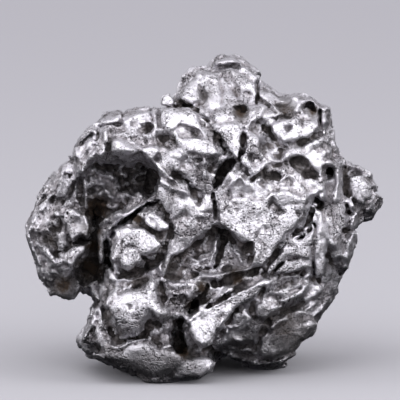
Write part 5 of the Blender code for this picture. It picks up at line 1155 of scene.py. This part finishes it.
class MeteoriteSkinSettings(PropertyGroup):
    """Sizes of the skin's small forms."""
    facet_spacing: FloatProperty(name="Facet spacing", description="Width of the broken facets",
                                 default=1.3 * MM, unit="LENGTH", precision=5)
    facet_tilt: FloatProperty(name="Facet tilt", description="Lean of the facets, as a slope",
                              default=0.34, min=0.0, max=1.0)
    crumple_size: FloatProperty(name="Crumple size", description="Width of the small folds",
                                default=1.1 * MM, unit="LENGTH", precision=5)
    crumple_height: FloatProperty(name="Crumple height", description="Height of the small folds",
                                  default=0.17 * MM, unit="LENGTH", precision=5)
    pit_spacing: FloatProperty(name="Pit spacing", description="Distance between possible pits",
                               default=0.85 * MM, unit="LENGTH", precision=5)
    pit_depth: FloatProperty(name="Pit depth", description="Depth of the small pits",
                             default=0.22 * MM, unit="LENGTH", precision=5)
    pit_share: FloatProperty(name="Pit share", description="Share of the places that hold a pit",
                             default=0.4, min=0.0, max=1.0)
    triangles: IntProperty(name="Triangles", description="Faces left in the finished skin",
                           default=196000, min=10000)


class MeteoriteIronSettings(PropertyGroup):
    """Colours and gloss of the metal."""
    bright: FloatVectorProperty(name="Bright iron", description="Colour of the clean metal",
                                subtype="COLOR", size=4, default=(0.76, 0.75, 0.785, 1.0))
    dull: FloatVectorProperty(name="Dull iron", description="Colour of the stained metal",
                              subtype="COLOR", size=4, default=(0.50, 0.48, 0.50, 1.0))
    grey: FloatVectorProperty(name="Grain", description="Colour of the fine dark grain",
                              subtype="COLOR", size=4, default=(0.16, 0.15, 0.16, 1.0))
    rim: FloatVectorProperty(name="Worn rims", description="Colour of the polished edges",
                             subtype="COLOR", size=4, default=(0.93, 0.92, 0.95, 1.0))
    # Dark grey of the film round the spots, partly tarnish, partly painted shade
    tarnish_and_shade: FloatVectorProperty(name="Film", description="Colour of the thin tarnish round the oxide",
                              subtype="COLOR", size=4, default=(0.13, 0.122, 0.12, 1.0))
    # Near-black colour of the oxide scale in cracks, also used as painted shade in the creases
    scale: FloatVectorProperty(name="Black scale", description="Colour of the oxide in cracks",
                               subtype="COLOR", size=4, default=(0.020, 0.017, 0.016, 1.0))
    # Dark brown of the oxide in hollows, also used as painted shade on the shadow spots
    rust_and_shade: FloatVectorProperty(name="Brown oxide", description="Colour of the oxide in hollows",
                              subtype="COLOR", size=4, default=(0.045, 0.028, 0.016, 1.0))
    gloss: FloatProperty(name="Roughness", description="Roughness of the clean metal",
                         default=0.34, min=0.05, max=1.0)


class MeteoriteStageSettings(PropertyGroup):
    """Floor, lights and camera."""
    floor: FloatVectorProperty(name="Floor", description="Colour of the floor", subtype="COLOR",
                               size=4, default=(0.42, 0.42, 0.44, 1.0))
    surround: FloatVectorProperty(name="Surroundings", description="Colour of the dim room",
                                  subtype="COLOR", size=4, default=(0.010, 0.010, 0.012, 1.0))
    sky: FloatVectorProperty(name="Tent", description="Colour of the soft tent overhead",
                             subtype="COLOR", size=4, default=(1.54, 1.50, 1.60, 1.0))
    sky_low: FloatProperty(name="Tent's lower rim", description="Height where the light begins",
                           default=-0.08)
    sky_high: FloatProperty(name="Tent's full height", description="Height of the full light",
                            default=0.25)
    key: FloatProperty(name="Key light", description="Power of the soft box above", default=0.4,
                       unit="POWER")
    front: FloatProperty(name="Front light", description="Power of the panel by the camera",
                         default=0.15, unit="POWER")
    side: FloatProperty(name="Side lights", description="Power of the panels at the sides",
                        default=0.2, unit="POWER")


def smooth_mask(tree, value, low, high):
    """0 below low, 1 above high and smooth between."""
    node = add_node(tree, "ShaderNodeMapRange", interpolation_type="SMOOTHSTEP")
    tree.links.new(value, node.inputs["Value"])
    node.inputs["From Min"].default_value = low
    node.inputs["From Max"].default_value = high
    return node.outputs[0]


def blend_colour(tree, share, first, second):
    """Mix two colours, given as sockets or as values."""
    node = add_node(tree, "ShaderNodeMix", data_type="RGBA")
    tree.links.new(share, node.inputs["Factor"])
    for socket, value in ((node.inputs[6], first), (node.inputs[7], second)):
        if hasattr(value, "links"):
            tree.links.new(value, socket)
        else:
            socket.default_value = value
    return node.outputs[2]


def stored(tree, name):
    """The value of an attribute that the mesh carries."""
    return add_node(tree, "ShaderNodeAttribute", attribute_name=name).outputs["Fac"]


def noise(tree, place, size, detail=3.0, roughness=0.55, distortion=0.0):
    """Noise on the object's own coordinates, with features about this size in metres."""
    node = tree.nodes.new("ShaderNodeTexNoise")
    tree.links.new(place, node.inputs["Vector"])
    node.inputs["Scale"].default_value = 1 / size
    node.inputs["Detail"].default_value = detail
    node.inputs["Roughness"].default_value = roughness
    node.inputs["Distortion"].default_value = distortion
    return node.outputs["Fac"]


def noise_colour(tree, place, size):
    """Three independent noises from -0.5 to 0.5 as a vector."""
    node = tree.nodes.new("ShaderNodeTexNoise")
    tree.links.new(place, node.inputs["Vector"])
    node.inputs["Scale"].default_value = 1 / size
    return vector_node(tree, "SUBTRACT", node.outputs["Color"], (0.5, 0.5, 0.5))


def hairlines(tree, place, spacing, width, gate):
    """Thin cracks along the edges of cells, in the places where the gate is high."""
    cells = tree.nodes.new("ShaderNodeTexVoronoi")
    cells.feature = "DISTANCE_TO_EDGE"
    tree.links.new(place, cells.inputs["Vector"])
    cells.inputs["Scale"].default_value = 1 / spacing
    line = math_node(tree, "SUBTRACT", 1.0, smooth_mask(tree, cells.outputs["Distance"], 0.0, width))
    return times(tree, line, smooth_mask(tree, gate, 0.46, 0.6))


def fine_pits(tree, place, gate):
    """Round dark specks, in the places where the gate is high."""
    cells = tree.nodes.new("ShaderNodeTexVoronoi")
    tree.links.new(place, cells.inputs["Vector"])
    cells.inputs["Scale"].default_value = 1 / (0.34 * MM)
    speck = math_node(tree, "SUBTRACT", 1.0, smooth_mask(tree, cells.outputs["Distance"], 0.1, 0.38))
    return times(tree, speck, smooth_mask(tree, gate, 0.38, 0.54))


def iron_material(settings):
    """Bright iron with fine pits and scratches, oxide left in its hollows and cracks, and painted shade:
    black in the creases and dark spots and film where shadow falls.
    """
    material = bpy.data.materials.new("meteoritic_iron")
    material.use_nodes = True
    tree = material.node_tree
    shader = tree.nodes["Principled BSDF"]
    place = tree.nodes.new("ShaderNodeTexCoord").outputs["Object"]
    hollow, crease, oxide_and_shade = (stored(tree, name) for name in ("hollow", "crease", "oxide_and_shade"))

    fine = noise(tree, place, 0.35 * MM, 4.0, 0.6)
    broad = noise(tree, place, 2.4 * MM, 3.0, 0.5)
    uneven = math_node(tree, "SUBTRACT", plus(tree, times(tree, fine, 0.5), times(tree, broad, 0.5)), 0.5)

    # Black in the creases: partly oxide scale in the cracks, partly painted shade where the creases and
    # thin grooves lie in shadow
    crack_scale_and_shade = smooth_mask(tree, plus(tree, crease, times(tree, uneven, 1.4)), 0.7, 1.25)
    deep = plus(tree, plus(tree, hollow, times(tree, uneven, 1.6)), times(tree, crease, 0.5))
    stained = smooth_mask(tree, deep, 0.6, 1.25)
    # Brown oxide on the listed spots, and painted shade where a spot stands for a shadowed hollow
    spot_rust_and_shade = smooth_mask(tree, plus(tree, oxide_and_shade, times(tree, uneven, 1.3)), 0.3, 0.75)
    # A dark film round the spots: tarnish round the oxide, and painted shade over the lower parts
    tarnish_and_shade = smooth_mask(tree, oxide_and_shade, 0.08, 0.4)
    dull = smooth_mask(tree, plus(tree, broad, times(tree, crease, 0.5)), 0.48, 0.8)
    worn = smooth_mask(tree, times(tree, crease, -1.0), 0.2, 0.65)
    patchy = times(tree, math_node(tree, "SUBTRACT", broad, 0.5), 0.4)
    grain = plus(tree, noise(tree, place, 0.22 * MM, 2.0, 0.5, 1.2), patchy)
    grain = smooth_mask(tree, grain, 0.5, 0.63)

    warp = vector_node(tree, "SCALE", noise_colour(tree, place, 0.9 * MM), scale=0.9 * MM)
    bent = vector_node(tree, "ADD", place, warp)
    small_lines = times(tree, hairlines(tree, bent, 0.8 * MM, 0.06, broad), 0.55)
    lines = math_node(tree, "MAXIMUM", hairlines(tree, bent, 2.1 * MM, 0.035, broad), small_lines)
    speck = fine_pits(tree, place, broad)

    colour = blend_colour(tree, dull, settings.bright, settings.dull)
    for mask, strength, layer in ((grain, 0.6, settings.grey), (stained, 0.75, settings.rust_and_shade),
                                  (tarnish_and_shade, 0.72, settings.tarnish_and_shade), (worn, 0.75, settings.rim),
                                  (spot_rust_and_shade, 1.0, settings.rust_and_shade), (crack_scale_and_shade, 1.0, settings.scale),
                                  (lines, 0.8, settings.scale), (speck, 0.85, settings.scale)):
        colour = blend_colour(tree, times(tree, mask, strength), colour, layer)
    tree.links.new(colour, shader.inputs["Base Color"])

    cover = math_node(tree, "MAXIMUM", spot_rust_and_shade, times(tree, stained, 0.6))
    cover = math_node(tree, "MAXIMUM", crack_scale_and_shade, cover)
    metallic = math_node(tree, "SUBTRACT", 1.0, times(tree, cover, 0.7))
    tree.links.new(metallic, shader.inputs["Metallic"])
    gloss = times(tree, math_node(tree, "SUBTRACT", fine, 0.35), 0.3)
    gloss = plus(tree, plus(tree, settings.gloss, gloss), times(tree, tarnish_and_shade, 0.1))
    gloss = math_node(tree, "ADD", gloss, times(tree, cover, 0.3), clamp=True)
    tree.links.new(gloss, shader.inputs["Roughness"])

    relief = math_node(tree, "SUBTRACT", noise(tree, place, 0.2 * MM, 3.0, 0.65), speck)
    relief = math_node(tree, "SUBTRACT", relief, times(tree, grain, 0.5))
    relief = math_node(tree, "SUBTRACT", relief, lines)
    bump = tree.nodes.new("ShaderNodeBump")
    bump.inputs["Strength"].default_value = 0.7
    bump.inputs["Distance"].default_value = 0.12 * MM
    tree.links.new(relief, bump.inputs["Height"])
    tree.links.new(bump.outputs[0], shader.inputs["Normal"])
    return material


def rough_shares(stone, mesh):
    """How strongly each point weathers: most in hollows, least on calm plates and at the seat."""
    points = mesh_points(mesh)
    places = sheet_places(points)
    seated = np.clip((points[:, 2] / MM - 0.1) / 0.4, 0, 1)
    wide = sample(stone, box_mean((stone.field < 0).astype(np.float32), 1.2), places)
    calm = sample(stone, np.repeat(stone.calm[:, :, None], 2, axis=2), places * (1, 1, 0))
    calm *= np.clip((places[:, 2] - turning_depth(places[:, 0], places[:, 1]) + 1) / 2, 0, 1)
    return np.clip(0.7 + (wide - 0.5) * 2.0, 0.3, 1.3) * seated * (1 - calm)


class METEORITE_OT_skin(Operator):
    """Carve the meteorite's skin, weather it and give it its metal"""
    bl_idname = "meteorite.skin"
    bl_label = "Carve the meteorite"

    def execute(self, context):
        settings = context.scene.meteorite_skin
        stone = carve()
        steps, quads = largest_shell(*skin(close_diagonals(stone.field)))
        mesh = new_mesh("carved", stand_up(stone, steps), quads)
        rough = mesh.attributes.new("rough", "FLOAT", "POINT")
        rough.data.foreach_set("value", rough_shares(stone, mesh).astype(np.float32))
        piece = bpy.data.objects.new("meteorite_skin", mesh)
        context.scene.collection.objects.link(piece)
        iron = iron_material(context.scene.meteorite_iron)
        weather = piece.modifiers.new("weathering", "NODES")
        weather.node_group = weathering_tree()
        set_inputs(weather, settings, iron)
        reduce = piece.modifiers.new("reduce", "DECIMATE")
        reduce.ratio = min(1.0, settings.triangles / (2 * len(quads)))
        finished = evaluated_copy(piece)
        piece.modifiers.clear()
        piece.data = finished
        finished.name = "meteorite_skin"
        bpy.data.meshes.remove(mesh)
        paint(stone, finished)
        finished.shade_smooth()
        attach(piece, "root")
        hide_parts(NODE)
        return {"FINISHED"}


FLOOR_HALF = 2.5                # half the floor's side, in metres
SKY_BEHIND = 0.25               # how bright the tent is behind the stone, as a share of its front


def soft_box(name, place, aim, size, power):
    """A round soft light that shines on a point."""
    data = bpy.data.lights.new(name, "AREA")
    data.shape = "DISK"
    data.size = size
    data.energy = power
    lamp = bpy.data.objects.new(name, data)
    lamp.location = place
    lamp.rotation_euler = (aim - Vector(place)).to_track_quat("-Z", "Y").to_euler()
    bpy.context.scene.collection.objects.link(lamp)


def soft_sky(world, settings):
    """A dim room that is bright overhead and in front, like a large soft tent, and dark below."""
    tree = world.node_tree
    direction = add_node(tree, "ShaderNodeTexCoord").outputs["Generated"]
    parts = add_node(tree, "ShaderNodeSeparateXYZ")
    tree.links.new(direction, parts.inputs[0])
    above = smooth_mask(tree, parts.outputs["Z"], settings.sky_low, settings.sky_high)
    ahead = smooth_mask(tree, parts.outputs["Y"], 0.9, -0.5)
    ahead = plus(tree, times(tree, ahead, 1 - SKY_BEHIND), SKY_BEHIND)
    colour = blend_colour(tree, times(tree, above, ahead), settings.surround, settings.sky)
    background = tree.nodes["Background"]
    tree.links.new(colour, background.inputs["Color"])


class METEORITE_OT_stage(Operator):
    """Set the floor, the soft lights and the camera"""
    bl_idname = "meteorite.stage"
    bl_label = "Set the stage"

    def execute(self, context):
        settings = context.scene.meteorite_stage
        aim = Vector((SHEET_SIDEWAYS, SHEET_BACKWARDS, SHEET_HEIGHT)) * MM
        back = Vector((0, -math.cos(SHEET_LEAN), math.sin(SHEET_LEAN)))
        data = bpy.data.cameras.new("camera")
        data.sensor_width = 36.0
        data.lens = data.sensor_width * EYE_DISTANCE / SHEET_SIDE
        data.clip_start = 0.01
        camera = bpy.data.objects.new("camera", data)
        camera.location = aim + back * EYE_DISTANCE * MM
        camera.rotation_euler = (-back).to_track_quat("-Z", "Y").to_euler()
        context.scene.collection.objects.link(camera)
        context.scene.camera = camera

        ground = bpy.data.meshes.new("floor")
        corners = [(x * FLOOR_HALF, y * FLOOR_HALF, 0) for x, y in ((-1, -1), (1, -1), (1, 1), (-1, 1))]
        ground.from_pydata(corners, [], [(0, 1, 2, 3)])
        floor = bpy.data.objects.new("floor", ground)
        paper = bpy.data.materials.new("pale_floor")
        paper.use_nodes = True
        shader = paper.node_tree.nodes["Principled BSDF"]
        shader.inputs["Base Color"].default_value = settings.floor
        shader.inputs["Roughness"].default_value = 0.9
        ground.materials.append(paper)
        context.scene.collection.objects.link(floor)
        floor.visible_glossy = False

        soft_box("key", (-0.10, -0.22, 0.36), aim, 0.30, settings.key)
        soft_box("front", (0.06, -0.45, 0.17), aim, 0.22, settings.front)
        soft_box("left", (-0.34, -0.02, 0.16), aim, 0.14, settings.side)
        soft_box("right", (0.30, -0.14, 0.22), aim, 0.24, 2 * settings.side)

        world = bpy.data.worlds.new("studio")
        world.use_nodes = True
        context.scene.world = world
        soft_sky(world, settings)
        context.scene.view_settings.view_transform = "Standard"
        return {"FINISHED"}


class METEORITE_PT_panel(Panel):
    """Lists the steps that make the meteorite"""
    bl_label = "Iron meteorite"
    bl_idname = "METEORITE_PT_panel"
    bl_space_type = "VIEW_3D"
    bl_region_type = "UI"
    bl_category = "Meteorite"

    def draw(self, context):
        scene = context.scene
        for settings, operator in ((scene.meteorite_skin, "meteorite.skin"),
                                   (scene.meteorite_iron, None),
                                   (scene.meteorite_stage, "meteorite.stage")):
            column = self.layout.box().column()
            for name in settings.bl_rna.properties.keys():
                if name not in ("rna_type", "name"):
                    column.prop(settings, name)
            if operator:
                column.operator(operator)


SETTINGS = {
    "meteorite_skin": MeteoriteSkinSettings,
    "meteorite_iron": MeteoriteIronSettings,
    "meteorite_stage": MeteoriteStageSettings,
}
CLASSES = (*SETTINGS.values(), METEORITE_OT_skin, METEORITE_OT_stage, METEORITE_PT_panel)


def register():
    """Register the settings, the operators and the panel."""
    for kind in CLASSES:
        bpy.utils.register_class(kind)
    for name, kind in SETTINGS.items():
        setattr(bpy.types.Scene, name, PointerProperty(type=kind))


def unregister():
    """Take the settings, the operators and the panel out again."""
    for name in SETTINGS:
        delattr(bpy.types.Scene, name)
    for kind in reversed(CLASSES):
        bpy.utils.unregister_class(kind)


def main():
    """Set the stage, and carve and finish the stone."""
    register()
    bpy.ops.meteorite.stage()
    bpy.ops.meteorite.skin()


if __name__ == "__main__":
    main()
